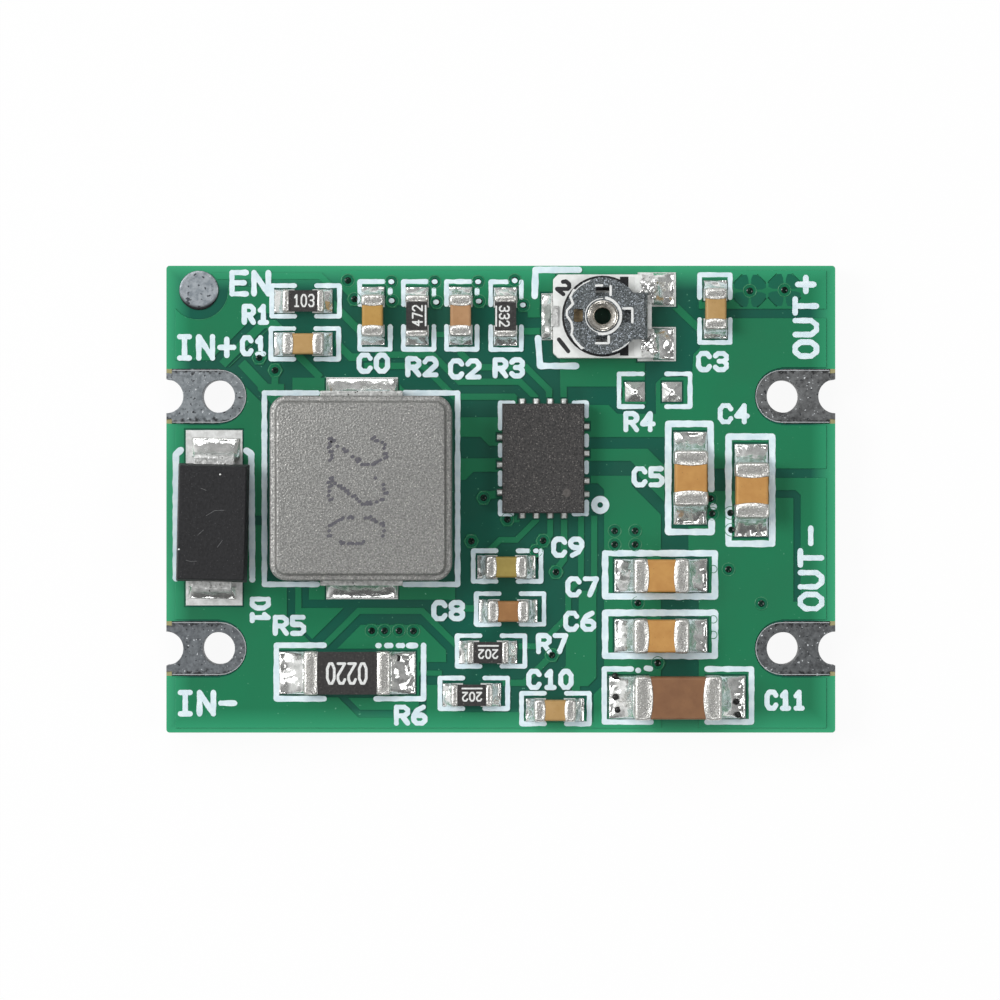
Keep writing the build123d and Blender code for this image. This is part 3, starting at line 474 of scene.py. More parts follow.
# Painted shade: the rim is darkened on the side away from a point 0.14 mm towards +Y.
crown = (ENABLE_PLACE[0] * MM, (ENABLE_PLACE[1] + 0.14) * MM, 1.7 * MM)
below = add_node(tree, "VectorMath", {"operation": "DISTANCE", 1: crown}, {0: place}).outputs["Value"]
painted_shade_span = {"From Min": 0.68 * MM, "From Max": 0.78 * MM}
lay_over(dome_finish, "#1B1D20", add_node(tree, "MapRange", painted_shade_span, {"Value": below}))
dome = [(0, BOARD_TOP), (0.72, BOARD_TOP), (0.72, 1.68), (0.7, 1.7), (0.665, 1.708), (0.6, 1.703)]
dome += [(0.3, 1.71), (0, 1.712)]
lathed("enable_dome", ENABLE_PLACE, dome, 40, dome_finish, ["enable_land"])


# Printed outlines and labels.
# Bluish white ink, screen printed over the mask: its edges waver a little and its ends are round.
# It leaves a gap at the rim of each via that it crosses, and a dot of it sinks into the via.
tree, given = start_tree("printed_strokes", ("Width", "Depth", "Waver"), ("Ink",))
path = add_node(tree, "GeometryNodeMeshToCurve", None, {"Mesh": given[0]})
path = add_node(tree, "GeometryNodeResampleCurve", {"mode": "LENGTH", "Length": 0.07 * MM}, {"Curve": path})
upright = add_node(tree, "GeometryNodeSetCurveNormal", {"mode": "Z_UP"}, {"Curve": path})
wobble = add_node(tree, "TexNoise", {"Scale": 1 / (0.3 * MM), "Detail": 1.0})
wobble = add_node(tree, "Math", {"operation": "SUBTRACT", 1: 0.5}, {0: wobble})
wobble = add_node(tree, "Math", {"operation": "MULTIPLY_ADD", 2: 1.0}, {0: wobble, 1: given[3]})
section = add_node(
    tree, "GeometryNodeCurvePrimitiveQuadrilateral", None, {"Width": given[1], "Height": given[2]}
)
ribbon = {"Curve": upright, "Profile Curve": section, "Scale": wobble}
ribbon = add_node(tree, "GeometryNodeCurveToMesh", {"Fill Caps": True}, ribbon)
parts = add_node(tree, "GeometryNodeJoinGeometry", None, {0: ribbon})
end_size = add_node(tree, "Math", {"operation": "MULTIPLY", 1: 0.5}, {0: given[1]})
for at_start, at_end, share in ((1, 0, 0.97), (0, 1, 0.93)):
    depth = add_node(tree, "Math", {"operation": "MULTIPLY", 1: share}, {0: given[2]})
    dot_size = {"Radius": end_size, "Depth": depth}
    dot = add_node(tree, "GeometryNodeMeshCylinder", {"Vertices": 12}, dot_size)
    ends = {"Start Size": at_start, "End Size": at_end}
    ends = add_node(tree, "GeometryNodeCurveEndpointSelection", ends)
    dots = {"Points": path, "Selection": ends, "Instance": dot}
    dots = add_node(tree, "GeometryNodeInstanceOnPoints", None, dots)
    tree.links.new(dots.outputs[0], parts.inputs[0])
strokes = add_node(tree, "GeometryNodeRealizeInstances", None, {"Geometry": parts})
strokes = add_node(tree, "GeometryNodeSetShadeSmooth", {"Shade Smooth": False}, {"Geometry": strokes})
strokes = add_node(tree, "GeometryNodeSetMaterial", None, {"Geometry": strokes, "Material": given[4]})
add_node(tree, "NodeGroupOutput", None, {0: strokes})
stroke_tree = tree

VIA_GAP = 0.29
INK_IN_VIA = 0.14
INK_OVER_VIA = 0.036
INK_TOP = MASK_TOP + 0.008
ink_finish = finish(
    "screen_printed_white_ink", "#E9F7FB", "#D2E6EE", 0.35, (0.55, 0.65), bump=(0.004, 0.09), contrast=0.2
)


def cut_at_vias(start, end):
    """A straight stroke as what is left of it beside the vias, with a dot of ink in each via."""
    span = math.dist(start, end)
    along = [(end[k] - start[k]) / span for k in (0, 1)]
    gaps, kept = [], []
    for via in VIA_PLACES:
        offset = [via[k] - start[k] for k in (0, 1)]
        middle = offset[0] * along[0] + offset[1] * along[1]
        aside = abs(offset[0] * along[1] - offset[1] * along[0])
        if aside < VIA_GAP * 0.6:
            outer = math.sqrt(VIA_GAP**2 - aside**2)
            gaps.append((middle - outer, middle + outer))
            if aside < INK_IN_VIA and 0.1 < middle < span + 0.1:
                spot = [via[k] + 0.3 * (start[k] + along[k] * middle - via[k]) for k in (0, 1)]
                kept.append([(spot[0] - 0.02, spot[1]), (spot[0] + 0.02, spot[1])])
    reached = 0.0
    for low, high in sorted(gaps) + [(span, span)]:
        stop = min(low, span)
        if stop - reached > 0.01:
            kept.append([tuple(start[k] + along[k] * s for k in (0, 1)) for s in (reached, stop)])
        reached = max(reached, high)
    return kept


def printed_strokes(
    name, lines, width, waver, low=BOARD_TOP, high=INK_TOP, material=ink_finish, body="board",
    around_vias=False,
):
    """Ink laid along lines in millimetres, each straight stretch with round ends and its own level."""
    stretches = [pair for line in lines for pair in zip(line, line[1:])]
    if around_vias:
        stretches = [kept for start, end in stretches for kept in cut_at_vias(start, end)]
    points = []
    for order, stretch in enumerate(stretches):
        level = (low + high) / 2 + 0.002 * (order % 5)
        if around_vias and any(math.dist(point, via) < 0.1 for point in stretch for via in VIA_PLACES):
            level += INK_OVER_VIA
        points += [(x * MM, y * MM, level * MM) for x, y in stretch]
    mesh = bpy.data.meshes.new(name + "_lines")
    mesh.from_pydata(points, [(i, i + 1) for i in range(0, len(points), 2)], [])
    values = {"Width": width * MM, "Depth": (high - low) * MM, "Waver": waver, "Ink": material}
    grow(name, mesh, stroke_tree, values, body)


def moved(lines, x, y, turn=0):
    """Lines turned about their origin and set down at a place."""
    c, s = math.cos(math.radians(turn)), math.sin(math.radians(turn))
    return [[(x + px * c - py * s, y + px * s + py * c) for px, py in line] for line in lines]


def brackets(half_x, half_y, arm):
    """Two facing square brackets, open in the middle of their long sides."""
    pair = []
    for side in (-1, 1):
        inner, outer = side * (half_x - arm), side * half_x
        pair.append([(inner, half_y), (outer, half_y), (outer, -half_y), (inner, -half_y)])
    return pair


fine_outlines = []
for x, y, turn in (
    (-7.15, 7.26, 0), (-7.18, 5.69, 0), (-4.61, 6.73, 90), (-3.01, 6.73, 90), (-1.43, 6.73, 90),
    (0.19, 6.72, 90), (7.84, 6.98, 90), (-0.99, -7.11, 0), (-0.36, -5.56, 0), (0.34, -4.02, 0),
    (0.23, -2.45, 0), (2.0, -7.67, 0),
):
    fine_outlines += moved(brackets(1.24, 0.56, 0.84), x, y, turn)
fine_outlines += moved(brackets(1.3, 0.6, 0.86), 5.63, 3.99)
fine_outlines += [
    [(0.45, 3.53), (-0.02, 3.53), (-0.02, 2.6)],
    [(2.68, 3.53), (3.14, 3.53), (3.14, 3.05)],
    [(0.4, -0.54), (-0.02, -0.54), (-0.02, -0.1)],
    [(2.68, -0.54), (3.14, -0.54), (3.14, -0.1)],
    [(3.14, 2.32), (3.14, 1.98)], [(3.14, 1.34), (3.14, 1.0)],
    [(-0.02, 1.98), (-0.02, 1.6)], [(-0.02, 0.97), (-0.02, 0.55)],
]
printed_strokes("small_outlines", fine_outlines, 0.17, 0.7, around_vias=True)

outlines = [
    [(-6.72, 3.89), (-8.66, 3.89), (-8.66, -3.12), (-6.72, -3.12)],
    [(-3.52, 3.89), (-1.58, 3.89), (-1.58, -3.12), (-3.52, -3.12)],
    [(-6.47, -5.35), (-8.22, -5.35), (-8.22, -7.31), (-6.47, -7.31)],
    [(-2.83, -5.35), (-2.83, -7.31), (-4.57, -7.31)],
    [(-4.5, -5.36), (-4.46, -5.36)], [(-4.18, -5.36), (-4.03, -5.36)], [(-3.75, -5.36), (-3.6, -5.36)],
    [(-3.38, -5.36), (-3.12, -5.36)],
    [(4.78, -6.22), (3.79, -6.22), (3.79, -8.16), (5.5, -8.16)],
    [(7.55, -6.22), (9.18, -6.22), (9.18, -8.16), (7.55, -8.16)],
    [(5.02, -6.27), (5.04, -6.27)], [(5.33, -6.19), (5.48, -6.21)],
]
printed_strokes("large_outlines", outlines, 0.2, 0.6, around_vias=True)

corners = ((-1, 1), (-1, -1), (1, -1), (1, 1), (-1, 1))
boxes = []
for x, y, half_x, half_y in ((9.14, 0.33, 0.8, 1.96), (5.83, -4.95, 2.01, 0.79), (5.83, -2.77, 2.01, 0.79)):
    boxes.append([(x + side_x * half_x, y + side_y * half_y) for side_x, side_y in corners])
printed_strokes("closed_outlines", boxes, 0.235, 0.55)
heavy_outlines = [
    [(7.71, 0.36), (7.68, 2.76), (6.13, 2.76), (6.13, -1.2), (7.72, -1.2), (7.72, -0.82)],
    [(7.78, -0.26), (7.8, -0.27)],
    [(1.24, 7.44), (1.27, 8.4), (2.86, 8.4)],
    [(1.36, 5.9), (1.44, 4.88), (2.76, 4.88)],
    [(-11.72, 1.8), (-11.9, 1.64), (-11.9, -2.9)],
    [(-9.32, 1.78), (-9.14, 1.66), (-9.1, -2.94)],
]
printed_strokes("heavy_outlines", heavy_outlines, 0.235, 0.55, around_vias=True)
printed_strokes("pin_one_ring", moved([arc(0.22, 0, 360, 16)], 3.64, -0.21), 0.23, 0.2)

filled_rings = []
for y in (-2.56, -4.40, -4.97):
    filled_rings += moved([arc(0.14, 0, 360, 12)], 7.78, y)
thin_lines = moved([arc(1.08, -108, 0, 12)], *ENABLE_PLACE) + [[(-9.95, 4.85), (-8.45, 6.3)]]
# A strip of mask covers a gap that a narrow, eased sliver of copper leaves beside the empty land.
strip = [[(4.5, 4.08), (4.5, 3.535), (5.29, 3.535)]]
# Near-white tin for the painted highlights along the terminals' rims.
painted_highlight_tin = finish("painted_highlight_on_land_rims", "#E9ECEE", "#B9BEC2", 0.2, (0.25, 0.4), metal=0.5)
for name, lines, width, waver, low, high, material, slot in (
    ("ink_filled_vias", filled_rings, 0.025, 0.1, MASK_TOP, INK_TOP + 0.012, rim_finish, "green_mask"),
    ("painted_terminal_rim_highlights", painted_terminal_rim_highlights, 0.028, 0.8, MASK_TOP - 0.01, MASK_TOP + 0.006, painted_highlight_tin, "tin"),
    ("mask_beside_empty_land", strip, 0.09, 0.1, BOARD_TOP, MASK_TOP + 0.002, copper_finish, "green_mask"),
    ("thin_mask_lines", thin_lines, 0.02, 0.2, BOARD_TOP, MASK_TOP + 0.004, rim_finish, "green_mask"),
):
    printed_strokes(name, lines, width, waver, low, high, material)

GLYPHS = {
    "C": [[(1, 0.8), (0.78, 1), (0.25, 1), (0, 0.78), (0, 0.22), (0.25, 0), (0.78, 0), (1, 0.2)]],
    "R": [
        [(0, 0), (0, 1), (0.7, 1), (1, 0.84), (1, 0.62), (0.7, 0.46), (0, 0.46)],
        [(0.5, 0.46), (1, 0)],
    ],
    "D": [[(0, 0), (0, 1), (0.65, 1), (1, 0.72), (1, 0.28), (0.65, 0), (0, 0)]],
    "E": [[(1, 1), (0, 1), (0, 0), (1, 0)], [(0, 0.52), (0.85, 0.52)]],
    "N": [[(0, 0), (0, 1), (1, 0), (1, 1)]],
    "I": [[(0.15, 1), (0.85, 1)], [(0.5, 1), (0.5, 0)], [(0.15, 0), (0.85, 0)]],
    "U": [[(0, 1), (0, 0.25), (0.3, 0), (0.7, 0), (1, 0.25), (1, 1)]],
    "T": [[(0, 1), (1, 1)], [(0.5, 1), (0.5, 0)]],
    "+": [[(0, 0.5), (1, 0.5)], [(0.5, 0.12), (0.5, 0.88)]],
    "-": [[(0, 0.5), (1, 0.5)]],
    "0": [[(0.3, 0), (0.7, 0), (1, 0.25), (1, 0.75), (0.7, 1), (0.3, 1), (0, 0.75), (0, 0.25), (0.3, 0)]],
    "1": [[(0.2, 0.76), (0.55, 1), (0.55, 0)], [(0.2, 0), (0.9, 0)]],
    "2": [[(0, 0.8), (0.25, 1), (0.75, 1), (1, 0.8), (1, 0.6), (0, 0), (1, 0)]],
    "3": [
        [(0, 0.85), (0.25, 1), (0.75, 1), (1, 0.85), (1, 0.65), (0.7, 0.52), (0.35, 0.52)],
        [(0.7, 0.52), (1, 0.36), (1, 0.15), (0.75, 0), (0.25, 0), (0, 0.15)],
    ],
    "4": [[(0.72, 0), (0.72, 1), (0, 0.36), (1, 0.36)]],
    "5": [[(0.95, 1), (0, 1), (0, 0.56), (0.7, 0.56), (1, 0.4), (1, 0.16), (0.75, 0), (0, 0)]],
    "6": [
        [(0.85, 1), (0.3, 0.8), (0, 0.45), (0, 0.18), (0.25, 0), (0.75, 0), (1, 0.16), (1, 0.36)],
        [(1, 0.36), (0.75, 0.5), (0.1, 0.5)],
    ],
    "7": [[(0, 1), (1, 1), (0.4, 0)]],
    "8": [
        [(0.3, 0.52), (0, 0.68), (0, 0.86), (0.25, 1), (0.75, 1), (1, 0.86), (1, 0.68), (0.7, 0.52)],
        [(0.7, 0.52), (0.3, 0.52), (0, 0.36), (0, 0.14), (0.25, 0), (0.75, 0), (1, 0.14), (1, 0.36)],
        [(1, 0.36), (0.7, 0.52)],
    ],
    "9": [
        [(0.15, 0), (0.7, 0.2), (1, 0.55), (1, 0.82), (0.75, 1), (0.25, 1), (0, 0.84), (0, 0.64)],
        [(0, 0.64), (0.25, 0.48), (0.9, 0.48)],
    ],
}
GLYPHS["O"] = GLYPHS["0"]


def lettered(text, x, y, length, height, turn=0):
    """The strokes of a word whose letters fill a box of that length and height about a centre."""
    pitch = length / (len(text) - 0.35)
    lines = []
    for i, letter in enumerate(text):
        left = i * pitch - length / 2
        for line in GLYPHS[letter]:
            lines.append([(left + px * pitch * 0.65, (py - 0.5) * height) for px, py in line])
    return moved(lines, x, y, turn)


small_labels = []
for text, x, y, length in (
    ("R1", -8.97, 6.77, 0.85), ("C1", -9.06, 5.62, 0.81), ("C0", -4.67, 4.98, 1.04),
    ("R2", -2.89, 4.85, 1.03), ("C2", -1.32, 4.77, 1.04), ("R3", 0.29, 4.81, 1.0),
    ("C3", 7.75, 5.04, 1.02), ("R4", 5.08, 2.84, 1.0),
    ("C4", 8.53, 3.13, 0.99), ("C5", 5.39, 0.82, 1.02), ("C9", 2.45, -1.76, 1.03), ("C7", 2.98, -3.21, 1.05),
    ("C6", 2.89, -4.47, 1.03), ("C8", -1.93, -4.08, 1.05), ("R7", 1.88, -5.29, 1.0), ("C10", 1.8, -6.6, 1.55),
    ("R6", -3.3, -7.91, 1.05), ("R5", -7.74, -4.62, 1.04), ("C11", 10.41, -7.36, 1.32),
):
    small_labels += lettered(text, x, y, length, 0.59)
small_labels += lettered("D1", -8.81, -4.07, 0.82, 0.59, -90)
printed_strokes("part_numbers", small_labels, 0.186, 0.6)

terminal_labels = []
for text, x, y, length, turn in (
    ("EN", -9.18, 7.91, 1.33, 0), ("IN+", -10.81, 5.56, 2.05, 0), ("IN-", -10.78, -7.47, 2.06, 0),
    ("OUT+", 11.17, 6.68, 2.88, 90), ("OUT", 11.36, -2.95, 2.12, 90),
):
    terminal_labels += lettered(text, x, y, length, 0.78, turn)
terminal_labels.append([(11.35, -1.06), (11.35, -1.62)])
printed_strokes("terminal_names", terminal_labels, 0.2, 0.6)


# Chip capacitors and resistors.
# Each is a fired block with dipped and plated ends: the silver paste creeps round the edges and
# ends in a bowed line, and the tin over it is grainy.
LAND_TOP = 1.68
CHIP_KINDS = {
    "small_resistor": (1.55, 0.82, 0.5, 0.24, 0.02),
    "large_resistor": (3.2, 1.6, 0.55, 0.5, 0.02),
    "small_capacitor": (1.55, 0.82, 0.8, 0.38, 0.05),
    "medium_capacitor": (2.05, 1.25, 1.25, 0.5, 0.08),
    "large_capacitor": (3.2, 1.6, 1.6, 0.58, 0.11),
}
CHIPS = {
    "r1": ("small_resistor", -7.23, 7.25, 0), "r2": ("small_resistor", -3.07, 6.7, 90),
    "r3": ("small_resistor", 0.17, 6.69, -90), "r5": ("large_resistor", -5.62, -6.36, 180),
    "r6": ("small_resistor", -1.06, -7.17, 180), "r7": ("small_resistor", -0.47, -5.61, 180),
    "c0": ("small_capacitor", -4.69, 6.71, 90), "c1": ("small_capacitor", -7.23, 5.68, 0),
    "c2": ("small_capacitor", -1.47, 6.71, 90), "c3": ("small_capacitor", 7.86, 6.95, 90),
    "c4": ("medium_capacitor", 9.17, 0.32, 90), "c5": ("medium_capacitor", 6.94, 0.77, 90),
    "c6": ("medium_capacitor", 5.86, -5.0, 0), "c7": ("medium_capacitor", 5.86, -2.8, 0),
    "c8": ("small_capacitor", 0.27, -4.1, 0), "c9": ("small_capacitor", 0.2, -2.48, 0),
    "c10": ("small_capacitor", 1.98, -7.72, 0), "c11": ("large_capacitor", 6.46, -7.25, 0),
}


def on_land(x, y, turn, reach=0.0):
    """A place on the lands, turned by degrees about its upright, and then moved out along its own X."""
    turned = Matrix.Translation((x, y, LAND_TOP)) @ Matrix.Rotation(math.radians(turn), 4, "Z")
    return turned @ Matrix.Translation((reach, 0, 0))


def rounded_corners(half_x, half_y, radius, steps):
    """The points of each rounded corner in turn of a rectangle about the origin."""
    corners = []
    for quarter, (sign_x, sign_y) in enumerate(((1, 1), (-1, 1), (-1, -1), (1, -1))):
        x, y = sign_x * (half_x - radius), sign_y * (half_y - radius)
        corners.append([(x + px, y + py) for px, py in arc(radius, 90 * quarter, 90 * quarter + 90, steps)])
    return corners


def plated_end(shape, size, side):
    """One dipped end of a chip about the chip's own centre: a rounded cup with a bowed lip."""
    length, width, height, band, bow = size
    soft = min(0.12, height * 0.2)
    corner = soft * 0.8
    stations = [(0.0, 0.022, 0), (0.06, 0.004, 0), (0.5, -0.004, 0)]
    stations += [(1.0, soft * (1 - x), y) for x, y in arc(1, 0, 90, 4)]
    rings = []
    for along, inset, share in stations:
        half_y, half_z = width / 2 - inset, height / 2 - inset
        section = []
        for points, sign in zip(rounded_corners(half_y, half_z, corner, 4), (1, 0, -1, 0)):
            section += points
            if sign:
                flat = sign * (half_y - corner)
                section += [(flat * (1 - step), sign * half_z) for step in (0.4, 0.8, 1.2, 1.6)]
        ring = []
        for y, z in section:
            lip = length / 2 - band - bow * (1 - (2 * y / width) ** 2)
            x = lip + (length / 2 - soft - lip) * along + soft * share
            ring.append(shape.verts.new((side * x, y, z + height / 2)))
        rings.append(ring)
    join_rings(shape, rings)
    shape.faces.new(rings[-1])
    shape.faces.new(rings[0][::-1])


end_finish = finish(
    "grainy_plated_tin", "#EFEEEA", "#B8B7B2", 0.06, (0.24, 0.38), metal=0.85, bump=(0.012, 0.055)
)
for name, (kind, x, y, turn) in CHIPS.items():
    shape = bmesh.new()
    for side in (-1, 1):
        plated_end(shape, CHIP_KINDS[kind], side)
    shape.transform(on_land(x, y, turn))
    drawn_piece(name + "_plated_ends", shape, end_finish, [name + "_end_caps"])

CERAMICS = {
    "fired_ceramic_tan": ("#BA9660", "#B08B52", "ceramic_tan", ("c1", "c3", "c10")),
    "fired_ceramic_honey": ("#C4924F", "#B98543", "ceramic_tan", ("c4", "c5", "c6", "c7")),
    "fired_ceramic_amber": ("#BE964F", "#B48A42", "ceramic_orange_brown", ("c0",)),
    "fired_ceramic_rose": ("#B68C63", "#AA7F55", "ceramic_tan", ("c2",)),
    "fired_ceramic_chestnut": ("#A07242", "#936637", "ceramic_orange_brown", ("c8",)),
    "fired_ceramic_olive": ("#A39048", "#97843D", "ceramic_olive", ("c9",)),
    "fired_ceramic_brown": ("#88603F", "#7C5435", "ceramic_brown", ("c11",)),
}
for name, (light, dark, slot, chips) in CERAMICS.items():
    pores = (("#6B4A2A", 0.05, 0.74),)
    ceramic = finish(name, light, dark, 0.45, (0.45, 0.55), specks=pores, bump=(0.003, 0.06))
    for chip in chips:
        eased_copy(chip + "_ceramic", chip + "_fired_block", 0.09, ceramic, 3)

alumina = finish("fired_white_alumina", "#F1F3F1", "#E6E8E5", 0.2, (0.4, 0.5), bump=(0.003, 0.05))
for name in ("r1", "r2", "r3", "r5", "r6", "r7"):
    eased_copy(name + "_body", name + "_fired_body", 0.07, alumina, 3)
glaze = finish(
    "black_glaze", "#2B2A2A", "#383635", 0.07, (0.36, 0.46),
    specks=(("#6A6764", 0.05, 0.7),), bump=(0.005, 0.07),
)
dress("resistor_overcoats", glaze)

code_ink = finish("white_code_ink", "#F0F2F0", "#D4D6D4", 0.05, (0.55, 0.65))
fine_codes = []
for text, x, y, length, height, turn, bar in (
    ("103", -7.2, 7.26, 0.72, 0.42, 0, False), ("472", -3.05, 6.71, 0.72, 0.34, 90, True),
    ("332", 0.13, 6.69, 0.72, 0.34, -90, True), ("202", -1.05, -7.22, 0.68, 0.3, 180, True),
    ("202", -0.46, -5.66, 0.68, 0.3, 180, True),
):
    fine_codes += lettered(text, x, y, length, height, turn)
    if bar:
        fine_codes += moved([[(-0.36, -0.3), (0.36, -0.3)]], x, y, turn)
bold_code = lettered("0220", -5.63, -6.37, 1.42, 0.72, 180)
code_top = LAND_TOP + 0.5
printed_strokes("small_codes", fine_codes, 0.06, 0.2, code_top - 0.01, code_top + 0.008, code_ink)
printed_strokes("large_code", bold_code, 0.1, 0.2, code_top + 0.04, code_top + 0.058, code_ink)


# Solder joints.
# Reflowed solder: it climbs each end, runs out hollow to the land's edge and freezes in ripples,
# bright where it is clean. The bare lands of R4 carry low pyramids of it, and C11's show pits,
# drawn as near-black plugs of painted shade.
SOLDER = {
    "small_resistor": (2.13, 0.86, 0.3), "small_capacitor": (2.13, 0.86, 0.45),
    "medium_capacitor": (3.4, 1.22, 0.62), "large_capacitor": (5.0, 1.56, 0.75),
    "large_resistor": (5.0, 1.56, 0.42),
}
DIODE_PLACE = (-10.5, -0.86)
INDUCTOR_PLACE = (-5.08, 0.4)
TRIMMER_PLACE = (3.71, 6.68)
EMPTY_PLACE = (5.59, 3.93)


def solder_fillet(shape, matrix, run, rise, width, seed, steps=(14, 16), ripples=0.11):
    """A hollow slope of solder from a wall at the origin out along +X, closed underneath."""
    along, across = steps
    top = []
    for i in range(along + 1):
        s = i / along
        row = []
        for j in range(across + 1):
            t = 2 * j / across - 1
            side = max(0.0, 1 - abs(t) ** 6)
            z = 0.02 + rise * ((1 - s) ** 2.6) * (0.3 + 0.7 * side)
            z += 0.06 * math.sin(math.pi * min(1, s * 1.1)) * side
            ripple = noise.noise(Vector((s * run * 2.6 + seed * 7.3, t * width * 1.9, seed * 1.7)))
            z += ripples * ripple * side * min(1, 4 * s) * min(1, 5 * (1 - s))
            if i == along:
                z = min(z, 0.012)
            row.append(shape.verts.new(matrix @ Vector((s * run, t * width / 2, max(0.008, z)))))
        top.append(row)
    for i in range(along):
        for j in range(across):
            shape.faces.new((top[i][j], top[i + 1][j], top[i + 1][j + 1], top[i][j + 1]))
    rim = [row[0] for row in top] + top[-1][1:] + [row[-1] for row in top[-2::-1]] + top[0][-2:0:-1]
    foot = [shape.verts.new((vert.co.x, vert.co.y, LAND_TOP)) for vert in rim]
    join_rings(shape, [rim, foot])
    shape.faces.new(foot[::-1])


joints = bmesh.new()
for order, (name, (kind, x, y, turn)) in enumerate(CHIPS.items()):
    span, land_width, rise = SOLDER[kind]
    length = CHIP_KINDS[kind][0]
    run = (span - length) / 2 + 0.03
    for half_turn in (0, 180):
        spot = on_land(x, y, turn + half_turn, length / 2 - 0.03)
        solder_fillet(joints, spot, run, rise, land_width, order + half_turn / 360)
for turn, reach, run in ((90, 2.4, 0.7), (-90, 2.34, 0.45)):
    solder_fillet(joints, on_land(*DIODE_PLACE, turn - 1.3, reach), run, 0.5, 1.75, turn, ripples=0.03)
    solder_fillet(joints, on_land(*INDUCTOR_PLACE, turn, 3.5), 0.52, 0.42, 2.6, turn + 1, ripples=0.03)
    solder_fillet(joints, on_land(5.57, TRIMMER_PLACE[1] + turn / 90, 0), 0.78, 0.6, 1.18, turn + 2, (18, 22))
solder_fillet(joints, on_land(1.86, TRIMMER_PLACE[1], 180), 0.36, 0.3, 1.66, 3)
for side in (-1, 1):
    centre = Vector((EMPTY_PLACE[0] + side * 0.68, EMPTY_PLACE[1], LAND_TOP))
    skirt = [Vector((x, y, 0)) * 0.36 / max(abs(x), abs(y)) for x, y in arc(1, 9, 351, 19)]
    rings = [[joints.verts.new(centre + Vector((0.02, 0.03, 0.22)))]]
    for share, rise in ((0.3, 0.17), (0.6, 0.1), (0.85, 0.05), (1.0, 0.01)):
        rings.append([joints.verts.new(centre + point * share + Vector((0, 0, rise))) for point in skirt])
    join_rings(joints, rings)
    joints.faces.new([joints.verts.new((*vert.co.xy, LAND_TOP)) for vert in rings[-1]][::-1])
solder_finish = finish(
    "reflowed_solder", "#FCFCFA", "#D6D8D5", 0.3, (0.14, 0.26), metal=0.85, bump=(0.05, 0.42), contrast=0.18
)
drawn_piece("solder_fillets", joints, solder_finish, ["solder_joints"])

# Near-white tin: on the controller's toes it is partly painted highlight; on the rotor it is only painted
# highlight.
tin_and_painted_highlights = finish(
    "wetted_tin_and_painted_highlights", "#FCFDFC", "#E6E8E6", 0.15, (0.2, 0.35), metal=0.1, bump=(0.02, 0.15)
)
toes = [((i - 1.5) * 0.51, side * 1.99, side * 90) for i in range(4) for side in (-1, 1)]
toes += [(-1.49, y, 180) for y in (0.78, -0.23, -1.24)] + [(1.49, y, 0) for y in (1.18, 0.19, -0.82, -1.31)]
drops = bmesh.new()
for order, (x, y, turn) in enumerate(toes):
    spot = on_land(CONTROLLER_PLACE[0] + x, CONTROLLER_PLACE[1] + y, turn)
    solder_fillet(drops, spot, 0.2, 0.1, 0.17, order, (6, 6))
drawn_piece("controller_toes", drops, tin_and_painted_highlights)

# Painted shade: each pit is a near-black plug whose darkness stands in for the shade in the hollow.
pit_painted_shade = finish("painted_shade_in_solder_pits", "#101211", "#1E201F", 0.1, (0.3, 0.4))
pit = [(0, LAND_TOP + 0.01), (0.115, LAND_TOP + 0.01), (0.115, LAND_TOP + 0.2), (0, LAND_TOP + 0.2)]
pit_places = ((4.18, -6.47), (4.19, -7.24), (4.27, -7.71), (8.62, -7.41), (8.69, -7.89), (-3.77, -5.82))
for order, place in enumerate(pit_places):
    lathed(f"solder_pit_{order}", place, pit, 16, pit_painted_shade)


# Inductor.
# Iron powder pressed round its coil and painted: a sparkling grey block with a stepped, rounded
# rim and a faint dotted value inked on its top. Its tinned clips fold out under both ends.
iron = finish(
    "pressed_iron_powder", "#A2A29F", "#7A7A78", 0.07, (0.32, 0.44), metal=0.45,
    specks=(("#D2CFCA", 0.055, 0.65),), bump=(0.02, 0.07), contrast=0.14,
)
profile = [(0, 0), (0.02, 0), (2.6, 0)] + [(2.6 + y, 0.1 - x) for x, y in arc(0.1, 18, 90, 4)]
profile += [(2.71, 0.14), (2.72, 0.19), (2.78, 0.215), (2.92, 0.24)]
profile += [(2.92 + y, 0.32 - x) for x, y in arc(0.08, 18, 90, 4)]
core = bmesh.new()
rings = []
for level, inset in profile:
    ring = []
    for corner in rounded_corners(3.3 - inset, 3.35 - inset, 0.6 - inset, 8):
        for x, y in corner:
            ring.append(core.verts.new((INDUCTOR_PLACE[0] + x, INDUCTOR_PLACE[1] + y, LAND_TOP + level)))
    rings.append(ring)
join_rings(core, rings)
core.faces.new(rings[-1])
core.faces.new(rings[0][::-1])
drawn_piece("inductor_core", core, iron, ["l1_core"])
clip_finish = finish(
    "sheared_tinned_copper", "#E8E9E7", "#A3A4A2", 0.14, (0.3, 0.5), metal=0.45,
    specks=(("#55534F", 0.12, 0.66),), bump=(0.03, 0.1), contrast=0.2,
)
eased_copy("l1_terminals", "inductor_clips", 0.03, clip_finish, angle=40)

